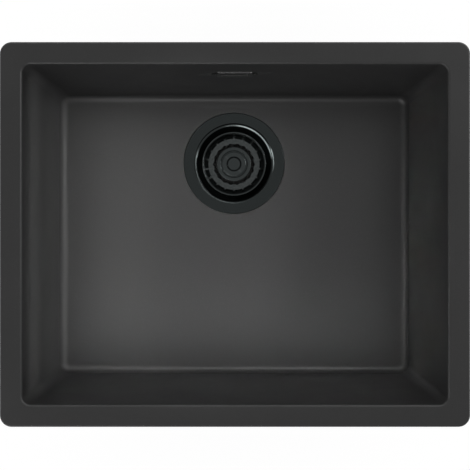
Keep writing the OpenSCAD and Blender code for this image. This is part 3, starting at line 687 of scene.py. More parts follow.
# Outlines and places


def polar(radius: float, angle: float) -> Pair:
    """Return the point at a radius and an angle in radians."""
    return radius * math.cos(angle), radius * math.sin(angle)


def quarter(steps: int, first: float = 0.0) -> list[float]:
    """Return angles in radians from the first one up to a right angle."""
    return [first + (math.pi / 2 - first) * k / steps for k in range(steps + 1)]


def rounding(radius: float, steps: int) -> list[Pair]:
    """Return pairs along a quarter circle that falls from (0, radius) to (radius, 0)."""
    return [(radius * (1 - math.cos(a)), radius * (1 - math.sin(a))) for a in quarter(steps)]


def outline_of(width: float, depth: float, radius: float, steps: int = 8, edges: int = 1) -> Outline:
    """Return a maker of rounded rectangles.

    Args:
        width: Size along the outline's X, in millimetres.
        depth: Size along its Y.
        radius: Corner radius.
        steps: Segments in each corner.
        edges: Segments along each straight side.

    Returns:
        A function from an offset to the points of the outline grown by it, counter-clockwise.
    """
    def grown(offset: float) -> list[Pair]:
        """Grow the outline.

        Args:
            offset: How far it grows, in millimetres; a negative one shrinks it.

        Returns:
            Its points.
        """
        r = max(radius + offset, 0.02)
        hx, hy = width / 2 + offset - r, depth / 2 + offset - r
        arcs = []
        for q, (sx, sy) in enumerate(((1, 1), (-1, 1), (-1, -1), (1, -1))):
            turns = [math.radians(90 * (q + k / steps)) for k in range(steps + 1)]
            arcs.append([(sx * hx + x, sy * hy + y) for x, y in (polar(r, a) for a in turns)])
        points = []
        for q, arc in enumerate(arcs):
            (x0, y0), (x1, y1) = arc[-1], arcs[(q + 1) % 4][0]
            points += arc
            points += [(x0 + (x1 - x0) * k / edges, y0 + (y1 - y0) * k / edges) for k in range(1, edges)]
        return points
    return grown


def circle_of(radius: float, steps: int = 32) -> Outline:
    """Return a maker of circles, grown by an offset, counter-clockwise."""
    return lambda offset: [polar(radius + offset, math.tau * k / steps) for k in range(steps)]


def soft_end(high: float, radius: float) -> list[Pair]:
    """Return the (height, offset) pairs of a stack's top edge, rounded by a radius."""
    return [(high - inset, -rise) for inset, rise in reversed(rounding(radius, 3))]


def lofted(name: str, sections: Iterable[tuple[Sequence[Pair], float]], place: Matrix,
           closed: bool = True) -> Piece:
    """Skin a row of flat outlines.

    Args:
        name: The object's name.
        sections: Each outline and its local height, in millimetres; the outlines have equally many points.
        place: Where the piece is put, in millimetres.
        closed: Whether the last outline joins the first one, as in a ring.

    Returns:
        The new object.
    """
    rings = [[tuple(place @ Vector((x, y, z))) for x, y in points] for points, z in sections]
    return stitched(name, rings, closed=closed)


def stacked(name: str, outline: Outline, levels: Iterable[Pair], place: Matrix | None = None) -> Piece:
    """Skin one outline over a stack of (height, offset) pairs, in a place given in millimetres."""
    return lofted(name, [(outline(offset), z) for z, offset in levels], place or Matrix.Identity(4),
                  closed=False)


def shift(x: float, y: float, z: float) -> Matrix:
    """Return a move in millimetres."""
    return Matrix.Translation((x, y, z))


def turn(degrees: float, axis: str) -> Matrix:
    """Return a turn about one of the axes."""
    return Matrix.Rotation(math.radians(degrees), 4, axis)


# Copies Z to X, X to Y and Y to Z: what is drawn upright is laid along +X
OUTWARD = Matrix(((0, 0, 1, 0), (1, 0, 0, 0), (0, 1, 0, 0), (0, 0, 0, 1)))


def crossed(made: Piece, place: Matrix, length: float, width: float, depth: float) -> Piece:
    """Cut a cross for a screwdriver.

    Args:
        made: The piece.
        place: Where the cross lies: it goes down along local -Z from the face at local Z = 0.
        length: The length of each slot, in millimetres.
        width: Its width.
        depth: Its depth.

    Returns:
        The same piece.
    """
    for angle in (0, 90):
        bar = stacked("bar", outline_of(length, width, 0.1, 2), [(-depth, 0), (depth, 0)],
                      place @ turn(angle, "Z"))
        combined(made, bar, Cut.TAKE)
    return made


def copied(source: Piece, name: str, place: Matrix) -> Piece:
    """Copy a piece.

    Args:
        source: The piece, which is kept.
        name: The copy's name.
        place: Where the copy is put, in millimetres.

    Returns:
        The copy.
    """
    mesh = source.data.copy()
    at = place.copy()
    at.translation *= MM
    mesh.transform(at)
    return linked(name, mesh)


def moved(source: Piece, place: Matrix) -> Piece:
    """Put a piece in a place given in millimetres, as a copy of its own name, and delete the first."""
    made = copied(source, source.name, place)
    bpy.data.objects.remove(source)
    return made


@dataclass(frozen=True)
class Recipes:
    """The geometry node trees of the sink."""

    around: Recipe
    stations: Recipe
    thread: Recipe
    hose: Recipe

    @classmethod
    def written(cls) -> "Recipes":
        """Build every tree."""
        return cls(cls._around(), cls._stations(), cls._thread(), cls._hose())

    @staticmethod
    def _around() -> Recipe:
        """Copies of a piece round a vertical axis, such as windows, gussets and ribs."""
        recipe = Recipe("Copies Round an Axis", Count=8, Across=0.0, Along=0.0, Turn=0.0)
        g, given = recipe.graph, recipe.given
        single = g.add("GeometryNodeGeometryToInstance", {0: given["Geometry"]}).outputs[0]
        copies = g.add("GeometryNodeDuplicateElements", {"Geometry": single, "Amount": given["Count"]},
                       domain="INSTANCE").outputs
        angle = g.times(copies["Duplicate Index"], g.math("DIVIDE", math.tau, given["Count"]))
        turned = g.add("GeometryNodeRotateInstances", {
            "Instances": copies["Geometry"], "Rotation": g.vector(Z=g.plus(angle, given["Turn"])),
            "Pivot Point": g.vector(X=given["Across"], Y=given["Along"]), "Local Space": False})
        return recipe.end(turned.outputs[0])

    @staticmethod
    def _stations() -> Recipe:
        """Copies of a piece drawn at the origin, one at each of the six clamp stations."""
        recipe = Recipe("Clamp Stations", Side=0.25, End=0.2, Spread=0.15)
        g, given = recipe.graph, recipe.given
        together = g.add("GeometryNodeJoinGeometry")
        for label, sx, sy, turns in (("Side", 1, 0, 0), ("Spread", 1, 1, 1), ("Spread", -1, 1, 1),
                                     ("Side", -1, 0, 2), ("Spread", -1, -1, 3), ("Spread", 1, -1, 3)):
            move = g.vector(X=g.times(given[label], float(sx)), Y=g.times(given["End"], float(sy)))
            spin = (0.0, 0.0, turns * math.pi / 2)
            placed = g.add("GeometryNodeTransform", {
                "Geometry": given["Geometry"], "Translation": move, "Rotation": spin})
            g.tree.links.new(placed.outputs[0], together.inputs[0])
        return recipe.end(together.outputs[0])

    @staticmethod
    def _thread() -> Recipe:
        """A helical thread with a vertical axis, added to a core; the core is kept as it is."""
        recipe = Recipe("Thread", Crest=0.005, Pitch=0.001, Rise=0.01, Across=0.0, Along=0.0, Low=0.0,
                        Facets=24)
        g, given = recipe.graph, recipe.given
        depth = g.times(given["Pitch"], 0.5)
        middle = g.minus(given["Crest"], depth)
        helix = g.add("GeometryNodeCurveSpiral", {
            "Resolution": given["Facets"], "Rotations": g.math("DIVIDE", given["Rise"], given["Pitch"]),
            "Start Radius": middle, "End Radius": middle, "Height": given["Rise"]}).outputs[0]
        upright = g.add("GeometryNodeSetCurveNormal", {"Curve": helix}, mode="Z_UP").outputs[0]
        ridge = g.add("GeometryNodeCurvePrimitiveCircle", {"Resolution": 4, "Radius": depth},
                      mode="RADIUS").outputs[0]
        swept = g.add("GeometryNodeCurveToMesh", {"Curve": upright, "Profile Curve": ridge,
                                                  "Fill Caps": True}).outputs[0]
        move = g.vector(X=given["Across"], Y=given["Along"], Z=given["Low"])
        placed = g.add("GeometryNodeTransform", {"Geometry": swept, "Translation": move}).outputs[0]
        both = g.add("GeometryNodeJoinGeometry")
        for part in (given["Geometry"], placed):
            g.tree.links.new(part, both.inputs[0])
        return recipe.end(both.outputs[0])

    @staticmethod
    def _hose() -> Recipe:
        """A ribbed hose along a path drawn as mesh edges, plain at its two cuffs."""
        recipe = Recipe("Ribbed Hose", Root=0.007, Crest=0.0085, Cuff=0.017, Ribs=30, Fineness=0.00032)
        g, given = recipe.graph, recipe.given
        path = g.add("GeometryNodeMeshToCurve", {0: given["Geometry"]}).outputs[0]
        fine = g.add("GeometryNodeResampleCurve", {"Curve": path, "Length": given["Fineness"]},
                     mode="LENGTH").outputs[0]
        here = g.add("GeometryNodeSplineParameter").outputs["Length"]
        whole = g.add("GeometryNodeSplineLength").outputs["Length"]
        ribbed = g.minus(whole, g.times(given["Cuff"], 2.0))
        along = g.math("DIVIDE", g.minus(here, given["Cuff"]), ribbed, clamp=True)
        wave = g.math("COSINE", g.times(g.times(along, given["Ribs"]), math.tau))
        swell = g.times(g.spread(wave, 0.6, -0.6, 0.0, 1.0), g.minus(given["Crest"], given["Root"]))
        upright = g.add("GeometryNodeSetCurveNormal", {"Curve": fine}, mode="MINIMUM_TWIST").outputs[0]
        ring = g.add("GeometryNodeCurvePrimitiveCircle", {"Resolution": 40, "Radius": 1.0},
                     mode="RADIUS").outputs[0]
        swept = g.add("GeometryNodeCurveToMesh", {
            "Curve": upright, "Profile Curve": ring, "Scale": g.plus(given["Root"], swell),
            "Fill Caps": True})
        return recipe.end(swept.outputs[0])


# What the sub-assemblies share


@dataclass(frozen=True)
class Datum:
    """Levels and places that more than one sub-assembly works to."""

    opening: Pair = (497.0, 397.0)
    lean: Pair = (17.7, 14.4)
    wall_top: float = 5.0
    foot: float = -179.546
    rim_top: float = 8.5
    floor: float = -191.5
    ledge: float = -202.84
    boss: float = -205.5
    well_floor: float = -226.84
    wall: float = 9.0
    drain_y: float = 94.1
    port: Pair = (150.1, -228.5)
    slot_z: float = -46.5
    slot_size: Pair = (56.0, 16.0)
    clamps: int = 6
    pad: Pair = (254.129, 205.13)
    spread: float = 150.0
    fixing: float = -82.0
    hub: float = -49.5
    screw_out: float = 6.4

    def inner(self, z: float) -> Pair:
        """Return the bowl's inner half sizes at a height."""
        share = (self.wall_top - z) / (self.wall_top - self.foot)
        return self.opening[0] / 2 - self.lean[0] * share, self.opening[1] / 2 - self.lean[1] * share

    @property
    def drain(self) -> Pair:
        """Return the drain's axis."""
        return 0.0, self.drain_y

    @property
    def web(self) -> Matrix:
        """Return the place of a web drawn as (distance from the drain's axis, height)."""
        return shift(0, self.drain_y, 0) @ turn(90, "X")

    @property
    def wall_angle(self) -> float:
        """Return the rear wall's lean in degrees."""
        return math.degrees(math.atan(self.lean[1] / (self.wall_top - self.foot)))

    @property
    def through(self) -> float:
        """Return the rear wall's thickness square to its face."""
        return self.wall * math.cos(math.radians(self.wall_angle))

    def at_slot(self) -> Matrix:
        """Return the slot's place: local +Z runs outwards through the rear wall."""
        face = shift(0, self.inner(self.slot_z)[1], self.slot_z)
        return face @ turn(-90 - self.wall_angle, "X") @ turn(180, "Z")

    def station(self, number: int) -> Matrix:
        """Return the place of a clamp.

        Args:
            number: The clamp, from 1 to 6.

        Returns:
            The place in millimetres, with local +X away from the bowl.
        """
        side, end = self.pad
        x, y, quarters = ((side, 0, 0), (self.spread, end, 1), (-self.spread, end, 1),
                          (-side, 0, 2), (-self.spread, -end, 3), (self.spread, -end, 3))[number - 1]
        return shift(x, y, 0) @ turn(90 * quarters, "Z")

    def fixed(self, out: float, station: Matrix = Matrix.Identity(4)) -> Matrix:
        """Return a fixing's place, some way out from its pad: local +Z runs away from the bowl."""
        return station @ shift(out, 0, self.fixing) @ turn(90, "Y")


@dataclass
class Workshop:
    """Dresses finished meshes, names each after the CAD node it stands for and hangs it on its body."""

    datum: Datum
    recipes: Recipes
    materials: dict[Slot, Material]
    kept: list[str] = field(default_factory=list)

    def around(self, made: Piece, count: int, turned: float = 0.0) -> Piece:
        """Copy a piece round the drain's axis, the first copy turned by an angle in degrees."""
        return self.recipes.around.run(made, self.materials[Slot.ZINC], Count=count,
                                       Along=self.datum.drain_y * MM, Turn=math.radians(turned))

    def at_stations(self, made: Piece) -> Piece:
        """Copy a piece to the six clamp stations."""
        side, end = self.datum.pad
        return self.recipes.stations.run(made, self.materials[Slot.ZINC], Side=side * MM, End=end * MM,
                                         Spread=self.datum.spread * MM)

    def threaded(self, core: Piece, centre: Sequence[float], crest: float, pitch: float, low: float,
                 rise: float, facets: int = 24) -> Piece:
        """Wind a thread round a core; sizes are in millimetres."""
        return self.recipes.thread.run(core, self.materials[Slot.ZINC], Crest=crest * MM, Pitch=pitch * MM,
                                       Rise=rise * MM, Across=centre[0] * MM, Along=centre[1] * MM,
                                       Low=low * MM, Facets=facets)

    def keep(self, made: Piece, slot: Slot, node: str, body: str = "sink", angle: float = 34.0) -> None:
        """Finish a piece.

        Args:
            made: The mesh, at the origin.
            slot: The finish.
            node: The CAD node that it stands for.
            body: The CAD body that carries it.
            angle: Edges sharper than this, in degrees, stay crisp.
        """
        shaded(made, angle)
        made.data.materials.clear()
        made.data.materials.append(self.materials[slot])
        made.name = made.data.name = "shown_" + node
        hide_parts(node)
        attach(made, body)
        self.kept.append(made.name)
        LOG.info("%s: %d faces, on %s", made.name, len(made.data.polygons), body)


@dataclass
class Assembly:
    """A group of the sink's pieces, made in the workshop."""

    shop: Workshop

    @property
    def datum(self) -> Datum:
        """Return the levels and places that the pieces work to."""
        return self.shop.datum

    def spun(self, name: str, corners: Sequence[Sequence[float]], segments: int = 128,
             steps: int = 5) -> Piece:
        """Turn an outline, its corners rounded, round the drain's axis."""
        return revolved(name, filleted(corners, steps), self.datum.drain, segments)

    def hexagon(self, outer: float, bore: float, low: float, tall: float, chamfer: Pair) -> Piece:
        """Make a hexagonal nut on the drain's axis.

        Args:
            outer: Its radius over the corners, in millimetres.
            bore: The radius of its hole, over the corners too.
            low: The height of its underside.
            tall: How tall it is.
            chamfer: How far in and how far up its edges are chamfered.

        Returns:
            The nut.
        """
        nut, hole, high = circle_of(outer, 6), circle_of(bore, 6)(0), low + tall
        inset, rise = chamfer
        return lofted("nut", [(nut(-inset), low), (nut(0), low + rise), (nut(0), high - rise),
                              (nut(-inset), high), (hole, high), (hole, low)],
                      shift(0, self.datum.drain_y, 0))

    def build(self) -> None:
        """Make every piece and keep it."""
        raise NotImplementedError


# Sub-assemblies


@dataclass
class Bowl(Assembly):
    """The moulded stone with its drain hole, overflow slot and fixing pads, and the foam under the rim."""

    border: float = 26.5
    rim_radius: float = 14.0
    rim_edge: float = 2.0
    corner: Pair = (10.0, 14.0)
    lip: float = 3.5
    cove: float = 12.0
    keel: float = 16.0
    neck: float = 4.0
    falls: Pair = (3.0, 1.0)
    under: float = -201.5
    seat: float = 1.5
    seat_edge: float = 0.5
    strip: Pair = (6.0, 2.5)
    flat: float = 73.5
    recess: Triple = (67.4, 49.8, 5.0)
    hole: float = 45.0
    ridge: Pair = (61.0, 66.0)
    pad_size: Triple = (20.0, 22.0, 4.0)
    pad_edge: float = 1.2
    insert: Pair = (3.6, 9.42)
    slot_round: float = 1.4
    corner_steps: int = 16
    side_steps: int = 18
    floor_steps: int = 22

    def build(self) -> None:
        """Make the stone and its foam strip."""
        datum = self.datum
        stone = stitched("stone", self.rings(), closed=True)
        for number in range(1, datum.clamps + 1):
            end = number % 3 != 1
            reach = datum.pad[end] - (datum.inner(datum.fixing)[end] + datum.wall / 2)
            levels = [(-reach, 0), *soft_end(0, self.pad_edge)]
            pad = stacked("pad", outline_of(*self.pad_size), levels, datum.fixed(0, datum.station(number)))
            combined(stone, pad, Cut.ADD)
        radius, depth = self.insert
        hole = stacked("hole", circle_of(radius), [(-depth, 0), (1, 0)], datum.fixed(0))
        combined(stone, self.shop.at_stations(hole), Cut.TAKE)
        combined(stone, self.slot_cutter(), Cut.TAKE)
        self.shop.keep(stone, Slot.GRANITE, "bowl", angle=38)
        self.shop.keep(self.foam(), Slot.FOAM, "rim_seal", angle=60)

    def ring(self, half: Sequence[float], radius: float, z: float) -> Ring:
        """Return a ring of the wall's outline with half sizes and a corner radius, at a height."""
        made = outline_of(2 * half[0], 2 * half[1], radius, self.corner_steps, self.side_steps)(0)
        return [(x, y, z) for x, y in made]

    def inner(self, offset: float, wall_z: float, z: float) -> Ring:
        """Return a ring at an offset from the inner face that the bowl has at wall_z, at height z."""
        share = (self.datum.wall_top - wall_z) / (self.datum.wall_top - self.datum.foot)
        half = [h + offset for h in self.datum.inner(wall_z)]
        return self.ring(half, self.corner[0] + (self.corner[1] - self.corner[0]) * share + offset, z)

    def rim(self, inset: float, z: float) -> Ring:
        """Return a ring inset from the rim's edge."""
        half = [o / 2 + self.border - inset for o in self.datum.opening]
        return self.ring(half, self.rim_radius - inset, z)

    def round_drain(self, radius: float, z: float) -> Ring:
        """Return a circle round the drain whose points match a ring's, corner to quarter."""
        count = 4 * (self.corner_steps + self.side_steps)
        turns = [math.radians(45) + math.tau * (j - self.corner_steps / 2) / count for j in range(count)]
        return [(x, self.datum.drain_y + y, z) for x, y in (polar(radius, a) for a in turns)]

    def fallen(self, ring: Ring) -> Ring:
        """Raise a ring towards the front by the floor's fall."""
        foot = self.datum.inner(self.datum.foot)[1]
        return [(x, y, z + self.falls[0] * (foot - y) / (2 * foot)) for x, y, z in ring]

    @staticmethod
    def between(first: Ring, last: Ring, steps: int) -> list[Ring]:
        """Return the rings strictly between two rings."""
        return [[tuple(a + (b - a) * k / steps for a, b in zip(p, q)) for p, q in zip(first, last)]
                for k in range(1, steps)]

    def rings(self) -> list[Ring]:
        """Return the stone's rings, once round its section: up outside, down inside and back beneath."""
        datum, wall, top = self.datum, self.datum.wall, self.datum.rim_top
        keel_z, neck_z, cove_z = self.under + self.keel, self.seat - self.neck, datum.floor + self.falls[1]
        keel = [self.inner(wall - self.keel * (1 - math.cos(a)), keel_z, keel_z - self.keel * math.sin(a))
                for a in reversed(quarter(10))]
        neck = [self.inner(wall + out, neck_z, self.seat - down) for out, down in rounding(self.neck, 6)]
        seat = [self.rim(self.seat_edge, self.seat), self.rim(0, self.seat + self.seat_edge)]
        edge = [self.rim(inset, top - down) for inset, down in rounding(self.rim_edge, 8)]
        lip = [self.inner(out, datum.wall_top, top - down) for out, down in reversed(rounding(self.lip, 10))]
        tilt = math.atan(sum(datum.lean) / 2 / (datum.wall_top - cove_z - self.cove))
        cove = [self.fallen(self.inner(-self.cove * (math.cos(tilt) - math.cos(a)), datum.foot,
                                       cove_z + self.cove * (1 - math.sin(a)))) for a in quarter(10, tilt)]
        drain = [self.round_drain(r, z) for r, z in self.drain_section()]
        return [
            *keel, *self.between(keel[-1], neck[0], 8), *neck, *seat, *edge, *lip,
            *self.between(lip[-1], cove[0], 9), *cove, *self.between(cove[-1], drain[0], self.floor_steps),
            *drain, *self.between(drain[-1], keel[0], 6)]

    def drain_section(self) -> list[Pair]:
        """Return the section (radius, height) from the floor's flat round the recess to the underside."""
        floor, boss, hole = self.datum.floor, self.datum.boss, self.hole
        wide, narrow, deep = self.recess
        ridge, foot = self.ridge
        return filleted([(self.flat, floor), (wide, floor, 0.7), (wide, floor - deep, 1.0),
                         (narrow, floor - deep, 0.8), (hole, floor - deep - (narrow - hole), 0.8),
                         (hole, boss, 0.8), (ridge, boss, 0.8), (ridge, self.under, 1.0), (foot, self.under)],
                        steps=3)

    def slot_cutter(self) -> Piece:
        """Return what the overflow slot is cut with: it flares where it meets the wall's two faces."""
        through, flare = self.datum.through, self.slot_round
        near = rounding(flare, 4)
        far = [(through - z, offset) for z, offset in reversed(near)]
        width, height = self.datum.slot_size
        return stacked("slot", outline_of(width, height, 0.49 * height, 10),
                       [(-4, flare), *near, *far, (through + 3, flare)], self.datum.at_slot())

    def foam(self) -> Piece:
        """Return the foam strip, its section pressed soft at the corners."""
        width, inset = self.strip
        section = [(0, 0.35), (0, 1.15), (0.1, 1.4), (0.35, 1.5), (width - 0.35, 1.5), (width - 0.1, 1.4),
                   (width, 1.15), (width, 0.35), (width - 0.1, 0.1), (width - 0.35, 0), (0.35, 0), (0.1, 0.1)]
        return stitched("foam", [self.rim(inset + across, z) for across, z in section], closed=True)


@dataclass
class Strainer(Assembly):
    """The pressed flange and well, what seals and clamps it, and the plastic body under the stone."""

    flange: float = 67.0
    dish: float = 2.04
    throat: float = 50.0
    well: float = 43.2
    shoulder: float = -200.7
    lower: float = 41.8
    sheet: float = 1.2
    hub: float = 4.3
    bead: Pair = (28.5, 0.8)
    sector: Triple = (9.0, 26.0, 3.0)
    gasket_size: Pair = (54.0, 66.5)
    washer: Triple = (46.0, 58.0, 3.0)
    outlet: Triple = (23.9, 20.0, -284.0)
    thread: Pair = (2.309, 22.5)
    chamber: Pair = (45.0, -240.5)
    port: Pair = (8.7, 6.4)
    boss: Triple = (10.0, 6.7, 16.0)
    arm: Triple = (9.3, 46.0, 3.0)
    bolt: Triple = (3.95, 7.0, 14.0)
    nut: Triple = (6.45, 4.05, 7.95)
    nut_drop: float = 14.5
    nut_chamfer: Pair = (0.5, 0.4)

    def build(self) -> None:
        """Make the pieces from the flange down to the outlet."""
        keep, (outer, bore, tall) = self.shop.keep, self.nut
        nut_low = self.datum.well_floor - self.nut_drop
        keep(self.pressing(), Slot.BLACK_STEEL, "strainer_well")
        keep(self.gasket(), Slot.RUBBER, "flange_gasket")
        keep(self.flat_ring(), Slot.RUBBER, "floor_washer")
        keep(self.body(), Slot.PLASTIC, "waste_body")
        keep(self.hexagon(outer, bore, nut_low, tall, self.nut_chamfer), Slot.BRASS, "clamp_nut")
        keep(self.centre_bolt(), Slot.STAINLESS, "clamp_bolt")

    def flat_ring(self) -> Piece:
        """Return the rubber washer under the stone."""
        inner, outer, thick = self.washer
        top, soft = self.datum.boss, 0.7
        return self.spun("washer", [(inner, top - thick, soft), (outer, top - thick, soft),
                                    (outer, top, soft), (inner, top, soft)])

    def pressing(self) -> Piece:
        """Return the flange, cone and well pressed from one sheet, with the outlet's openings."""
        top, low, ledge = self.datum.floor - 0.2, self.datum.well_floor, self.datum.ledge
        lip, t, bead, raised = top - self.dish, self.sheet, self.bead[0], low + self.bead[1]
        outside = [
            (self.hub, low - t), (self.lower - 2, low - t, 3.0), (self.lower + t, low + 1.2, 2.0),
            (self.lower + t, ledge - t, 1.0), (self.well + t, ledge - 0.6, 0.8),
            (self.well + t, self.shoulder - 0.5, 2.0), (self.throat + 0.6, lip - t, 1.5),
            (self.flange, top - t, 0.6)]
        inside = [
            (self.flange, top, 0.55), (self.flange - 1.4, top + 0.02, 3.0),
            (self.throat + 3.4, lip + 0.33, 1.2), (self.throat + 1.6, lip + 1.05, 1.3),
            (self.throat - 0.6, lip - 0.2, 1.6), (self.well, self.shoulder, 3.0), (self.well, ledge, 0.5),
            (self.lower, ledge, 0.6), (self.lower, low, 2.6), (bead + 1.9, low, 1.0),
            (bead + 0.5, raised, 0.8), (bead - 0.5, raised, 0.8), (bead - 1.7, low, 0.8), (self.hub, low)]
        made = self.spun("pressing", outside + inside, segments=192, steps=6)
        return combined(made, self.shop.around(self.opening(), 4, 45), Cut.TAKE)

    def opening(self) -> Piece:
        """Return the cutter of one outlet opening, between two webs."""
        inner, outer, web = self.sector
        steps = 12
        corners: list[tuple[float, ...]] = []
        for radius, soft, order in ((outer, 2.0, range(steps + 1)), (inner, 1.0, range(steps, -1, -1))):
            edge = math.asin(web / radius) - math.radians(45)
            turns = [edge - 2 * edge * k / steps for k in order]
            arc = [(x, self.datum.drain_y + y) for x, y in (polar(radius, a) for a in turns)]
            corners += [(*arc[0], soft), *arc[1:-1], (*arc[-1], soft)]
        return extruded("opening", filleted(corners), self.datum.well_floor - 3, self.datum.well_floor + 2)

    def gasket(self) -> Piece:
        """Return the rubber ring that the flange presses into the stone's recess."""
        low, (inner, outer) = self.datum.floor - 5, self.gasket_size
        return self.spun("gasket", [(inner, low, 0.5), (outer, low, 0.8), (outer, low + 3.45, 0.6),
                                    (inner, low + 1.95, 0.4)])

    def body(self) -> Piece:
        """Return the plastic waste body: chamber, funnel, threaded outlet, rear port and the boss inside."""
        datum = self.datum
        top, (bore, low), (crest, bore_out, end) = datum.boss - 3, self.chamber, self.outlet
        spigot, brim = low - 17.5, 58.0
        made = self.spun("body", [
            (bore_out, end, 0.5), (crest - 1.4, end, 0.5), (crest - 1.4, spigot - 0.8),
            (crest + 2, spigot - 0.2, 0.6), (crest + 2, spigot + 2, 1.5), (bore + 3, low, 4.0),
            (bore + 3, top - 6, 1.0), (brim, top - 4, 0.5), (brim, top, 0.5), (bore, top, 0.4),
            (bore, low + 1, 3.0), (bore_out, spigot + 2, 2.0)], segments=144)
        port_crest, port_bore = self.port
        place = shift(0, datum.drain_y, datum.port[1]) @ turn(-90, "X")
        for radius, levels, how in (
                (port_crest + 2, [(46.5, 0), *soft_end(49.5, 0.8)], Cut.ADD),
                (port_crest, [(46.8, 0), *soft_end(56, 0.4)], Cut.ADD),
                (port_bore, [(40, 0), (57, 0)], Cut.TAKE)):
            combined(made, stacked("port", circle_of(radius, 48), levels, place), how)
        combined(made, self.shop.around(self.gusset(top), 8, 22.5), Cut.ADD)
        pitch, rise = self.thread
        made = self.shop.threaded(made, datum.drain, crest, pitch, end + 1.5, rise, facets=72)
        return joined("body", [made, *self.inside()])

    def inside(self) -> list[Piece]:
        """Return the boss that holds the brass nut, and its three arms."""
        high = self.datum.well_floor - 1.5
        outer, pocket, tall = self.boss
        low, seat = high - tall, high - 4.96
        boss = self.spun("boss", [(pocket, low, 0.4), (outer, low, 0.8), (outer, high, 0.5),
                                  (self.hub, high, 0.3), (self.hub, seat), (pocket, seat)], segments=48)
        root, reach, thick = self.arm
        arm = extruded("arm", [(root, low), (reach - 7.4, low), (reach, low + 4.54), (reach, high - 4),
                               (root, high - 4)], -thick / 2, thick / 2, self.datum.web)
        return [boss, self.shop.around(arm, 3, 30)]

    def gusset(self, top: float) -> Piece:
        """Return one stiffening web between the body's flange and its chamber."""
        corners = [(45.8, top - 20), (57.0, top - 5.5, 0.8), (57.0, top - 3.2), (45.8, top - 3.2)]
        return extruded("gusset", filleted(corners, steps=2), -1.0, 1.0, self.datum.web)

    def centre_bolt(self) -> Piece:
        """Return the centre bolt with its domed, cross-slotted head."""
        shank, wide, length = self.bolt
        head = self.datum.well_floor
        low, top = head - length, head + 2.4
        made = self.spun("bolt", [(0, low), (shank, low, 0.5), (shank, head), (wide, head, 0.4),
                                  (wide, head + 1.5, 1.2), (3.6, top, 2.0), (0, top)], segments=48)
        return crossed(made, shift(*self.datum.drain, top), 10.0, 1.2, 1.2)


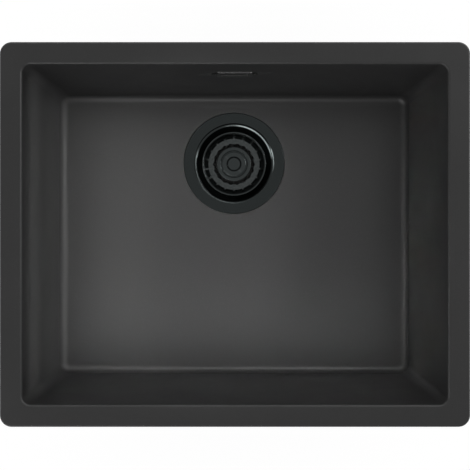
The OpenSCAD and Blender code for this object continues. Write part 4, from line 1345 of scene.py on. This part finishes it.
@dataclass
class Basket(Assembly):
    """The lift-out basket: pierced cup, knob, stud, rubber stopper and nut."""

    count: int = 18
    floor: float = -218.34
    rim: Triple = (42.7, 0.3, 1.8)
    wall: float = 41.0
    foot: float = 36.6
    crown: Triple = (26.4, 36.2, 4.0)
    hole: Pair = (19.0, 28.0)
    web: float = 1.7
    knob: float = 22.9
    button: Pair = (16.2, 2.2)
    dimple: Triple = (9.8, 2.1, 0.4)
    knob_top: float = -208.34
    bore: float = 3.05
    stud: float = 3.0
    stopper_low: float = -225.74
    nut: Triple = (5.5, 4.8, 2.2)
    nut_chamfer: Pair = (0.4, 0.3)

    def build(self) -> None:
        """Make the five pieces."""
        keep, (outer, drop, tall) = self.shop.keep, self.nut
        keep(self.cup(), Slot.BLACK_STEEL, "basket_cup", "basket")
        keep(self.handle(), Slot.BLACK_STEEL, "basket_knob", "basket")
        keep(self.pin(), Slot.STAINLESS, "basket_stud", "basket")
        keep(self.stopper(), Slot.RUBBER, "basket_stopper", "basket")
        nut = self.hexagon(outer, self.bore, self.floor - drop, tall, self.nut_chamfer)
        keep(nut, Slot.STAINLESS, "basket_nut", "basket")

    def cup(self) -> Piece:
        """Return the pressed cup with its windows, crown and floor holes."""
        low, ledge, hub = self.floor, self.datum.ledge, self.bore + 0.15
        rim, gap, tall = self.rim
        under, top = ledge + gap, ledge + gap + tall
        inner, outer, crown = self.crown
        made = self.spun("cup", [
            (hub, low), (self.foot - 2, low, 1.6), (self.foot, low + 2.4, 2.0), (self.wall, ledge - 1.5, 1.0),
            (self.wall, under, 0.4), (rim, under, 0.3), (rim, top, 0.45), (rim - 1.8, top, 0.45),
            (self.wall - 1, ledge - 1.5, 1.5), (outer + 0.3, low + 4.2, 0.3), (outer, low + 2.6, 0.3),
            (outer - 0.5, low + 3.45, 0.4), (outer - 1.8, low + crown, 0.5), (inner, low + crown, 0.8),
            (inner, low + 1, 0.3), (hub, low + 1)], segments=216)
        near, far = self.hole
        keyhole = filleted([(near, -3.05, 0.6), (far, -4.55, 4.1), (far, 4.55, 4.1), (near, 3.05, 0.6)])
        place = shift(*self.datum.drain, 0)
        half_step = 180 / self.count
        hole = extruded("hole", keyhole, low - 1, low + 6, place)
        notch = stacked("notch", outline_of(3.2, 1.8, 0.5, 3), [(low + 3.1, 0), (low + 5, 0)],
                        shift(outer - 2, self.datum.drain_y, 0))
        for cutter, first in ((self.window(), half_step), (hole, half_step), (notch, 0)):
            combined(made, self.shop.around(cutter, self.count, 90 + first), Cut.TAKE)
        return softened(made, 0.22, angle=42)

    def window(self) -> Piece:
        """Return the cutter of one window, wider outside than inside, with rounded corners."""
        low, high = self.floor + 1.7, self.datum.ledge - 2.2
        sections = []
        for radius in (self.crown[1] - 0.27, 44.0):
            width = 2 * radius * math.sin(math.pi / self.count) - self.web
            sections.append((outline_of(width, high - low, 1.5, 4)(0), radius))
        return lofted("window", sections, shift(0, self.datum.drain_y, (low + high) / 2) @ OUTWARD,
                      closed=False)

    def handle(self) -> Piece:
        """Return the knob: a thin disc, a groove and a dimpled button on a waisted stem."""
        top, low, bore = self.knob_top, self.floor + 1, self.bore
        (button, tall), (half, deep, sag) = self.button, self.dimple
        seat, crest = half - 1.6, top + tall
        ball = (seat * seat + sag * sag) / (2 * sag)
        turns = [math.asin(seat / ball) * k / 10 for k in range(10, -1, -1)]
        bowl = [(ball * math.sin(a), crest - deep - sag + ball * (1 - math.cos(a))) for a in turns]
        shell = filleted([
            (bore, low), (9, low, 0.6), (7, top - 3.6, 1.5), (8.5, top - 2.6, 0.8),
            (self.knob, top - 2.6, 0.8), (self.knob, top, 0.6), (button + 2.1, top, 0.5),
            (button + 1.3, top - 1.2, 0.2), (button, top - 1.2, 0.2), (button, crest, 0.8),
            (half + 0.1, crest, 0.06), bowl[0]])
        return revolved("knob", [(0, low + 6.5), (bore, low + 6.5), *shell, *bowl[1:-1], (0, bowl[-1][1])],
                        self.datum.drain)

    def pin(self) -> Piece:
        """Return the threaded stud under the knob."""
        low, high, drain = self.floor - 5.8, self.knob_top - 2.5, self.datum.drain
        core, tip = self.stud - 0.4, self.stud - 0.7
        made = revolved("pin", [(0, low), (tip, low), (core, low + 0.4), (core, high - 0.4), (tip, high),
                                (0, high)], drain, segments=32)
        return self.shop.threaded(made, drain, self.stud, 1.0, low + 0.6, 4.0)

    def stopper(self) -> Piece:
        """Return the rubber bell that shuts the outlet."""
        top, low = self.floor, self.stopper_low
        return self.spun("stopper", [
            (self.bore, top - 2.6), (13, top - 2.6, 1.0), (20, top - 3.4, 1.5), (27, low, 0.6),
            (31, low, 0.3), (31, low + 0.8, 0.6), (28.4, low + 2.4, 0.8), (24, top - 1.4, 1.5),
            (20, top, 1.5), (self.bore, top)])


@dataclass
class Overflow(Assembly):
    """The snap-in cover, gasket, housing, hose and union nuts behind the rear wall."""

    cover: Triple = (43.0, 26.0, 1.8)
    slit: Pair = (34.0, 8.67)
    prong: Triple = (18.9, 8.0, 1.8)
    flange: Triple = (70.0, 30.0, 2.0)
    box: Triple = (64.0, 24.0, 9.0)
    mouth: float = 10.97
    hose_y: float = 210.213
    spigot: Pair = (8.7, -118.5)
    neck: Pair = (9.7, -82.5)
    funnel: Pair = (28.0, 8.5)
    hose: tuple[float, float, float, int] = (7.3, 8.5, 17.0, 30)
    bend: Pair = (168.6, 41.613)
    end_y: float = 151.6
    washer: Triple = (6.4, 8.6, 1.5)
    nut: tuple[float, float, float, float] = (10.75, 8.75, -5.75, 6.0)
    ribs: tuple[int, float] = (12, 1.2)

    def build(self) -> None:
        """Make the pieces from the bowl's inner face outwards."""
        top = shift(0, self.hose_y, self.spigot[1])
        bottom = shift(0, *self.datum.port) @ turn(90, "X")
        keep = self.shop.keep
        keep(self.plate(), Slot.PLASTIC, "overflow_cover")
        keep(self.seal(), Slot.RUBBER, "overflow_gasket")
        keep(self.housing(), Slot.PLASTIC, "overflow_housing")
        keep(self.tube(), Slot.HOSE, "overflow_hose", angle=60)
        keep(self.union(top), Slot.PLASTIC, "hose_nut_top")
        keep(self.union(bottom), Slot.PLASTIC, "hose_nut_bottom")
        washers = joined("washers", [self.flat_washer(top), self.flat_washer(bottom)])
        keep(washers, Slot.RUBBER, "hose_washers")

    def plate(self) -> Piece:
        """Return the cover with its slit and two barbed prongs."""
        width, height, thick = self.cover
        place = self.datum.at_slot()
        made = stacked("plate", outline_of(width, height, 2.5, 6),
                       [(-thick, -0.7), (-thick + 0.2, -0.3), (-thick + 0.7, 0), (0, 0)], place)
        flare = [(-thick - 1, 0.5), (-thick - 0.01, 0.5), (-thick + 0.15, 0.15), (-thick + 0.5, 0), (1, 0)]
        combined(made, stacked("slit", outline_of(*self.slit, 2.0, 6), flare, place), Cut.TAKE)
        x, wide, t = self.prong
        tip = self.mouth + self.flange[2]
        barb = [(-t / 2, -0.2), (t / 2, -0.2), (t / 2, tip + 0.2), (t / 2 + 1.2, tip + 0.6),
                (-t / 2, tip + 2.6)]
        prong = softened(extruded("prong", barb, -wide / 2, wide / 2, turn(90, "X")), 0.25)
        twin = copied(prong, "prong", place @ shift(-x, 0, 0) @ turn(180, "Z"))
        return joined("cover", [made, moved(prong, place @ shift(x, 0, 0)), twin])

    def seal(self) -> Piece:
        """Return the rubber ring round the slot, behind the wall."""
        width, height, thick = self.flange
        wide, tall = self.datum.slot_size
        low, high = self.datum.through + 0.02, self.datum.through + thick - 0.02
        outer = outline_of(width, height, height / 2 - 0.01, 16)
        hole = outline_of(wide + 2, tall + 2, tall / 2 + 0.99, 16)(0)
        return lofted("seal", [(outer(0), low), (outer(0.25), low + 0.48), (outer(0.25), high - 0.48),
                               (outer(0), high), (hole, high), (hole, low)], self.datum.at_slot())

    def housing(self) -> Piece:
        """Return the housing: flange, box, funnel and threaded spigot."""
        place, low = self.datum.at_slot(), self.mouth
        (width, height, sheet), (wide, tall, deep) = self.flange, self.box
        made = stacked("flange", outline_of(width, height, height / 2 - 0.01, 16),
                       [(low, 0), (low + sheet - 0.5, 0), (low + sheet, -0.5)], place)
        top = low + deep
        crown = [(low + 0.5, 0), (top - 1.6, 0), (top - 1.1, -0.12), (top - 0.5, -0.6), (top - 0.12, -1.2),
                 (top, -2)]
        combined(made, stacked("box", outline_of(wide, tall, tall / 2 - 0.01, 16), crown, place), Cut.ADD)
        combined(made, self.throat(), Cut.ADD)
        hole = outline_of(2 * self.prong[0] + 3.6, self.datum.slot_size[1] - 2, 6.9, 12)
        combined(made, stacked("mouth", hole, [(low - 1, 0), (low + 7, 0)], place), Cut.TAKE)
        crest, end = self.spigot
        return self.shop.threaded(made, (0.0, self.hose_y), crest, 1.5, end + 1.0, 13.5, facets=48)

    def throat(self) -> Piece:
        """Return the loft from the box down to the spigot, flat where it would touch the wall."""
        (wide, deep), (neck, neck_z), (crest, end) = self.funnel, self.neck, self.spigot
        wall, edges = self.datum.at_slot(), 4
        start = wall @ Vector((0, -9.0, self.mouth + deep / 2 + 0.2))
        top = [(x, y + start.y, start.z) for x, y in outline_of(wide, deep, 1.5, 8, edges)(0)]
        rings = []
        for radius, z in ((crest - 1.6, end), (crest - 1.0, end + 0.5), (crest - 1.0, neck_z - 1.6),
                          (crest, neck_z - 1.2), (neck, neck_z - 0.4), (neck, neck_z + 1.6)):
            circle = [polar(radius, math.tau * (k - edges) / len(top) + math.pi / 4) for k in range(len(top))]
            rings.append([(x, self.hose_y + y, z) for x, y in circle])
        for k in range(1, 13):
            share = k / 12
            ease = share * share * (3 - 2 * share)
            rings.append([(a[0] + (b[0] - a[0]) * ease, a[1] + (b[1] - a[1]) * ease,
                           a[2] + (b[2] - a[2]) * share) for a, b in zip(rings[5], top)])
        back = wall @ Vector((0, 0, self.mouth + self.flange[2] / 2))
        fall = math.tan(math.radians(self.datum.wall_angle))
        for ring in rings[4:]:
            ring[:] = [(x, max(y, back.y + (z - back.z) * fall), z) for x, y, z in ring]
        return stitched("throat", rings)

    def tube(self) -> Piece:
        """Return the ribbed hose: down behind the bowl, a quarter bend, and forward to the port."""
        (bend_y, bend_r), port_z = self.bend, self.datum.port[1]
        arc = [(0, bend_y + bend_r * math.cos(a), port_z + bend_r * (1 - math.sin(a))) for a in quarter(24)]
        path = [(0, self.hose_y, self.spigot[1] - self.washer[2]), *arc, (0, self.end_y, port_z)]
        root, crest, cuff, ribs = self.hose
        made = new_object("tube", path, edges=[(k, k + 1) for k in range(len(path) - 1)])
        return self.shop.recipes.hose.run(made, self.shop.materials[Slot.HOSE], Root=root * MM,
                                          Crest=crest * MM, Cuff=cuff * MM, Ribs=ribs)

    def union(self, place: Matrix) -> Piece:
        """Make a union nut with finger ribs, its lip behind the hose's collar.

        Args:
            place: Where the hose ends: local +Z runs away from the hose.

        Returns:
            The nut.
        """
        plain, bore, low, high = self.nut
        (ribs, lobe), around, count = self.ribs, plain - 0.6, 180
        half_pitch = math.pi / ribs

        def lobed(inset: float) -> list[Pair]:
            """Draw the nut's outline with its ribs.

            Args:
                inset: How far it is drawn in, in millimetres.

            Returns:
                Its points.
            """
            points = []
            for k in range(count):
                a = math.tau * k / count
                off = (a + half_pitch) % (2 * half_pitch) - half_pitch
                side = around * math.sin(off)
                bulge = math.sqrt(max(0.0, lobe * lobe - side * side))
                rib = around * math.cos(off) + bulge if abs(side) < lobe else 0.0
                points.append(polar(max(plain, rib) - inset, a))
            return points

        hole, lip = circle_of(bore, count)(0), circle_of(self.hose[0] + 0.2, count)(0)
        return lofted("union", [
            (lobed(0.9), low), (lobed(0.25), low + 0.35), (lobed(0), low + 0.9), (lobed(0), high - 0.9),
            (lobed(0.25), high - 0.35), (lobed(0.9), high), (hole, high), (hole, low + 2.2), (lip, low + 2.2),
            (lip, low)], place)

    def flat_washer(self, place: Matrix) -> Piece:
        """Make a union's flat washer.

        Args:
            place: Where the hose ends: local +Z runs away from the hose.

        Returns:
            The washer.
        """
        bore, outer, thick = self.washer
        section = [(outer - 0.2, -thick), (outer, -thick + 0.2), (outer, -0.2), (outer - 0.2, 0), (bore, 0),
                   (bore, -thick)]
        return lofted("washer", [(circle_of(r, 40)(0), z) for r, z in section], place)


@dataclass
class Clamps(Assembly):
    """The six worktop clamps: inserts, brackets and their screws, and the moving screws and claws."""

    strip: Pair = (18.0, 2.0)
    strip_end: float = 3.0
    low: float = -91.0
    tab: float = -51.0
    tab_end: float = 10.7
    bend: float = 2.2
    insert: Triple = (3.55, 2.55, 9.42)
    knurl: float = 0.12
    hub: float = 4.0
    boss: float = 3.5
    screw: float = 2.5
    play: float = 0.05
    head: Triple = (4.0, 3.5, -73.0)
    claw: Triple = (28.0, 2.5, 3.0)
    tooth: Pair = (2.0, 3.0)

    def build(self) -> None:
        """Make the fixed pieces as groups, and each moving screw and claw by itself."""
        keep, datum = self.shop.keep, self.datum
        for made, slot, node in (
                (self.sleeve(), Slot.BRASS, "wall_inserts"),
                (self.bracket(), Slot.ZINC, "clamp_brackets"),
                (self.fixing_screw(), Slot.STAINLESS, "bracket_screws")):
            keep(self.shop.at_stations(made), slot, node)
        shank, arm = self.clamp_screw(), self.claw_arm()
        for number in range(1, datum.clamps + 1):
            place = datum.station(number) @ shift(datum.screw_out, 0, 0)
            keep(copied(shank, "shank", place), Slot.ZINC, f"clamp_screw_{number}", f"clamp_{number}_screw")
            keep(copied(arm, "arm", place), Slot.ZINC, f"claw_{number}", f"clamp_{number}_claw")
        for made in (shank, arm):
            bpy.data.objects.remove(made)

    def sleeve(self) -> Piece:
        """Return one knurled brass insert."""
        outer, bore, length = self.insert
        count = 96

        def knurled(inset: float) -> list[Pair]:
            """Return the insert's toothed outline, drawn in by an inset."""
            return [polar(outer - inset - self.knurl * (k % 2), math.tau * k / count) for k in range(count)]

        smooth = circle_of(bore, count)(0)
        return lofted("sleeve", [(knurled(0.3), 0), (knurled(0), 0.4), (knurled(0), length - 0.4),
                                 (knurled(0.3), length), (smooth, length), (smooth, 0)],
                      self.datum.fixed(-length))

    def bracket(self) -> Piece:
        """Return one bent bracket with its threaded boss and two stiffening webs."""
        wide, thick = self.strip
        hole, out, foot = self.screw + self.play, self.datum.screw_out, -thick - self.boss
        place = shift(out, 0, self.tab)
        made = self.bent_strip(wide, thick)
        boss = [(foot, -0.5), (foot + 0.5, 0), (-thick + 0.3, 0)]
        combined(made, stacked("boss", circle_of(self.hub, 48), boss, place), Cut.ADD)
        for side in (-1, 1):
            web = extruded("web", [(1, -14), (out, -3), (out, -1), (1, -1)], -0.75, 0.75,
                           shift(0, side * (wide / 2 - 1), self.tab) @ turn(90, "X"))
            combined(made, web, Cut.ADD)
        bore = [(foot - 1, 0.4), (foot, 0.4), (foot + 0.4, 0), (1, 0)]
        combined(made, stacked("bore", circle_of(hole, 40), bore, place), Cut.TAKE)
        fixing = stacked("fixing", circle_of(hole + 0.25, 40), [(-1, 0), (3, 0)], self.datum.fixed(0))
        return combined(made, fixing, Cut.TAKE)

    def bent_strip(self, wide: float, thick: float) -> Piece:
        """Make a bracket's strip, bent outwards at its top, with rounded ends.

        Args:
            wide: The strip's width, in millimetres.
            thick: Its thickness.

        Returns:
            The strip.
        """
        bend, middle, soft, out = self.bend, thick / 2, self.strip_end, self.datum.screw_out
        high = self.tab - middle
        path = [(middle, self.low + rise, 0.0) for rise in (0.0, 0.4, 1.0, 1.8, soft)]
        path += [(middle + bend * (1 - math.cos(a)), high - bend + bend * math.sin(a), a) for a in quarter(8)]
        path += [(x, high, math.pi / 2) for x in (out - 0.5, out + 1.0, out + 2.2, out + 3.2, self.tab_end)]
        rings = []
        for x, z, a in path:
            half, up = wide / 2, z - self.low
            if up < soft:
                half += math.sqrt(soft * soft - (soft - up) ** 2) - soft
            if x > out:
                half = math.sqrt(half * half - (x - out) ** 2)
            rings.append([(x + math.cos(a) * n, w, z - math.sin(a) * n)
                          for n, w in ((middle, -half), (middle, half), (-middle, half), (-middle, -half))])
        return softened(stitched("strip", rings), 0.3, angle=50)

    def fixing_screw(self) -> Piece:
        """Return one screw that holds a bracket on its pad."""
        thick, radius, shank, top = self.strip[1], 4.5, self.screw - 0.1, 2.6
        low = 1 - self.insert[2] - thick
        made = revolved("fixing", filleted([
            (0, low), (shank, low, 0.5), (shank, 0), (radius, 0, 0.3), (radius, 1.5, 0.8),
            (radius - 1.1, top, 1.5), (0, top)]), segments=48)
        return moved(crossed(made, shift(0, 0, top), 5.0, 1.0, 1.2), self.datum.fixed(thick))

    def clamp_screw(self) -> Piece:
        """Return a clamp screw about the Z axis: thread, slotted head, and what holds the claw."""
        radius, tall, under = self.head
        hub, low, screw = self.datum.hub, under - tall, self.screw
        core, collar, ring = screw - 0.45, self.hub - 0.5, 3.4
        clip = hub + self.claw[1] + self.play
        made = revolved("shank", filleted([
            (0, low), (radius - 0.4, low, 0.2), (radius, low + 0.4, 0.3), (radius, under, 0.5),
            (core, under, 0.3), (core, hub - 1.4), (screw, hub - 1.25), (collar, hub - 1.2, 0.2),
            (collar, hub, 0.15), (screw, hub), (screw, clip), (ring, clip, 0.25), (ring, clip + 0.8, 0.25),
            (1.8, clip + 0.8, 0.2), (1.4, clip + 0.55), (0, clip + 0.55)], steps=3), segments=48)
        crossed(made, shift(0, 0, low) @ turn(180, "X"), 6.0, 1.2, 1.6)
        return self.shop.threaded(made, (0.0, 0.0), screw, 0.8, under + 0.3, 20.8, facets=20)

    def claw_arm(self) -> Piece:
        """Return a claw about the Z axis: a stepped arm along -Y with three teeth, and its hub."""
        (reach, thick, step), (tall, pitch) = self.claw, self.tooth
        rise, tip = reach - 3 * pitch - 3, step + thick
        teeth = []
        for k in range(3):
            teeth += [(reach - k * pitch, tip + tall), (reach - (k + 0.9) * pitch, tip)]
        profile = [(0, 0), (rise, 0, 3.0), (rise + step, step, 3.0), (reach, step, 0.6), *teeth,
                   (rise + step - 1, tip, 2.0), (rise - 1, thick, 3.0), (0, thick)]
        made = extruded("arm", filleted(profile, steps=4), -self.hub, self.hub,
                        turn(-90, "Z") @ turn(90, "X"))
        softened(made, 0.35, angle=50)
        for radius, levels, how in (
                (self.hub, [(0, -0.3), (0.3, 0), (thick - 0.3, 0), (thick, -0.3)], Cut.ADD),
                (self.screw + self.play, [(-1, 0), (thick + 1, 0)], Cut.TAKE)):
            combined(made, stacked("hub", circle_of(radius, 64 if how is Cut.ADD else 40), levels), how)
        return moved(made, shift(0, 0, self.datum.hub))


# The picture


@dataclass(frozen=True)
class Panel:
    """A rectangular lamp: its place and aim in metres, its sides, the angle of its grid and its power."""

    name: str
    place: Triple
    aim: Triple
    size: Pair
    spread: float
    watts: float
    mirrored: bool = False


PANELS = (
    Panel("floor_whole", (0.0, 0.0, 0.6), (0.0, 0.0, 0.0), (0.43, 0.33), 8.0, 0.21),
    Panel("floor_centre", (0.0, 0.0, 0.9), (0.0, 0.0, 0.0), (0.13, 0.31), 8.0, 0.055),
    Panel("slant_left", (0.5, 0.0, 1.1), (-0.15, 0.0, -0.19), (0.32, 0.08), 8.0, 0.15),
    Panel("slant_front", (0.0, 0.5, 1.1), (0.0, -0.13, -0.19), (0.42, 0.06), 8.0, 0.09),
    Panel("wall_left_high", (1.2, 0.0, 0.3), (-0.245, 0.0, -0.045), (0.4, 0.04), 3.0, 0.035),
    Panel("wall_left", (0.75, 0.0, 0.8), (-0.232, 0.0, -0.1), (0.36, 0.12), 3.0, 0.085),
    Panel("wall_left_low", (0.55, 0.0, 1.0), (-0.225, 0.0, -0.15), (0.34, 0.05), 4.0, 0.03),
    Panel("wall_right", (-0.75, 0.0, 0.8), (0.232, 0.0, -0.1), (0.36, 0.12), 3.0, 0.075),
    Panel("wall_right_front", (-0.75, -0.08, 0.8), (0.232, -0.08, -0.11), (0.2, 0.05), 6.0, 0.024),
    Panel("wall_rear", (0.0, -0.75, 0.8), (0.0, 0.185, -0.1), (0.44, 0.06), 6.0, 0.013),
    Panel("wall_front", (0.0, 0.75, 0.8), (0.0, -0.185, -0.1), (0.44, 0.05), 6.0, 0.055),
    Panel("strip_right", (1.45, 0.85, 1.48), (0.0, 0.0, -0.1), (2.8, 0.4), 180.0, 112.0, mirrored=True),
    Panel("strip_rear", (-0.4, 1.6, 1.4), (0.0, 0.0, -0.1), (2.0, 0.4), 180.0, 45.0, mirrored=True),
    Panel("strip_front", (-0.35, -1.6, 1.4), (0.0, 0.0, -0.1), (1.6, 0.35), 180.0, 13.0, mirrored=True),
    Panel("strip_left", (-1.05, -1.05, 1.1), (0.0, 0.0, -0.1), (2.6, 0.35), 180.0, 46.0, mirrored=True),
)


@dataclass
class Studio:
    """Camera, lamps, floor and white surroundings."""

    eye: Triple = (-0.009, 0.003, 1.46)
    focal: float = 95.2
    offset: Pair = (0.0164, -0.0066)
    floor_z: float = -0.2852
    floor_size: float = 30.0
    floor_tone: float = 0.8
    floor_white: Pair = (1.08, 0.86)
    dome: float = 0.75

    def build(self) -> None:
        """Set everything up: panels that reach into the bowl, and long strips that only the gloss shows."""
        self.camera()
        self.surroundings()
        self.floor()
        for panel in PANELS:
            self.lamp(panel)
        bpy.context.scene.view_settings.view_transform = "Standard"

    def camera(self) -> None:
        """Look straight down from over the sink's middle, as the photograph does."""
        data = bpy.data.cameras.new("camera")
        data.lens, data.sensor_width = self.focal, 36.0
        data.shift_x, data.shift_y = self.offset
        data.clip_end = 100.0
        made = linked("camera", data)
        made.location = self.eye
        bpy.context.scene.camera = made

    @staticmethod
    def seen(g: Graph) -> Socket:
        """Return 1 for rays that show the surroundings themselves: seen directly, mirrored or through."""
        path = g.add("ShaderNodeLightPath").outputs
        pair = g.plus(path["Is Camera Ray"], path["Is Glossy Ray"])
        return g.math("ADD", pair, path["Is Transmission Ray"], clamp=True)

    def surroundings(self) -> None:
        """White where it is seen, a softer dome where it lights."""
        world = bpy.data.worlds.new("surroundings")
        bpy.context.scene.world = world
        world.use_nodes = True
        g = Graph(world.node_tree)
        back = world.node_tree.nodes["Background"]
        g.tree.links.new(g.plus(self.dome, g.times(self.seen(g), 1.0 - self.dome)), back.inputs["Strength"])
        back.inputs["Color"].default_value = (1.0, 1.0, 1.0, 1.0)

    def floor(self) -> None:
        """A pale floor that only shows the shadow, and nothing at all from below."""
        edge, level = self.floor_size / MM, self.floor_z / MM
        corners = [(-edge, -edge, level), (edge, -edge, level), (edge, edge, level), (-edge, edge, level)]
        made = new_object("floor", corners, [(0, 1, 2, 3)])
        finish = bpy.data.materials.new("floor")
        finish.use_nodes = True
        g, nodes = Graph(finish.node_tree), finish.node_tree.nodes
        cloth = nodes["Principled BSDF"]
        cloth.inputs["Base Color"].default_value = (*[self.floor_tone] * 3, 1.0)
        cloth.inputs["Roughness"].default_value = 0.9
        cloth.inputs["Specular IOR Level"].default_value = 0.0
        strength, share = self.floor_white
        white = g.add("ShaderNodeEmission", {"Color": (1.0, 1.0, 1.0, 1.0), "Strength": strength}).outputs[0]
        shown = g.times(self.seen(g), share)
        both = g.add("ShaderNodeMixShader", {"Fac": shown, 1: cloth.outputs[0], 2: white})
        behind = g.add("ShaderNodeNewGeometry").outputs["Backfacing"]
        clear = g.add("ShaderNodeBsdfTransparent").outputs[0]
        above = g.add("ShaderNodeMixShader", {"Fac": behind, 1: both.outputs[0], 2: clear})
        g.tree.links.new(above.outputs[0], nodes["Material Output"].inputs["Surface"])
        made.data.materials.append(finish)

    @staticmethod
    def lamp(panel: Panel) -> None:
        """Hang a panel, turned to its aim.

        Args:
            panel: The panel's size, place, aim and light.
        """
        data = bpy.data.lights.new(panel.name, "AREA")
        data.shape, (data.size, data.size_y) = "RECTANGLE", panel.size
        data.energy, data.spread = panel.watts, math.radians(panel.spread)
        made = linked(panel.name, data)
        made.location = panel.place
        made.rotation_euler = (Vector(panel.place) - Vector(panel.aim)).to_track_quat("Z", "Y").to_euler()
        made.visible_camera = False
        made.visible_glossy, made.visible_diffuse = panel.mirrored, not panel.mirrored


FINISHES = (
    GraniteFinish(Slot.GRANITE, (0.029, 0.029, 0.029), 0.38, specular=0.11, relief=0.00002),
    MouldedFinish(Slot.FOAM, (0.02, 0.02, 0.02), 0.85, specular=0.25, relief=0.0002, grain_scale=1500.0,
                  haze=0.04),
    PlatedFinish(Slot.BLACK_STEEL, (0.0215, 0.0245, 0.0245), 0.14, metallic=1.0, relief=0.000003,
                 centre=(0.0, 0.0941)),
    MouldedFinish(Slot.RUBBER, (0.008, 0.008, 0.008), 0.6, specular=0.08, relief=0.00003, grain_scale=1800.0),
    MouldedFinish(Slot.PLASTIC, (0.018, 0.018, 0.018), 0.42, specular=0.45, relief=0.00003),
    MouldedFinish(Slot.HOSE, (0.3, 0.31, 0.32), 0.45, specular=0.4, relief=0.00002, grain_scale=900.0),
    MetalFinish(Slot.BRASS, (0.72, 0.52, 0.24), 0.32, metallic=1.0, relief=0.00001, bloom=(0.5, 0.36, 0.18)),
    MetalFinish(Slot.STAINLESS, (0.62, 0.62, 0.61), 0.26, metallic=1.0, relief=0.00001, bloom_share=0.2),
    MetalFinish(Slot.ZINC, (0.55, 0.56, 0.57), 0.38, metallic=1.0, relief=0.00002, bloom=(0.42, 0.44, 0.47)),
)


def main() -> None:
    """Dress the sink piece by piece."""
    logging.basicConfig(level=logging.INFO, format="%(message)s", stream=sys.stdout)
    effects = Effects()
    materials = {finish.slot: finish.material(effects) for finish in FINISHES}
    shop = Workshop(Datum(), Recipes.written(), materials)
    Studio().build()
    for assembly in (Bowl(shop), Strainer(shop), Basket(shop), Overflow(shop), Clamps(shop)):
        LOG.info("%s", type(assembly).__name__)
        assembly.build()
    LOG.info("%d pieces shown", len(shop.kept))


if __name__ == "__main__":
    main()
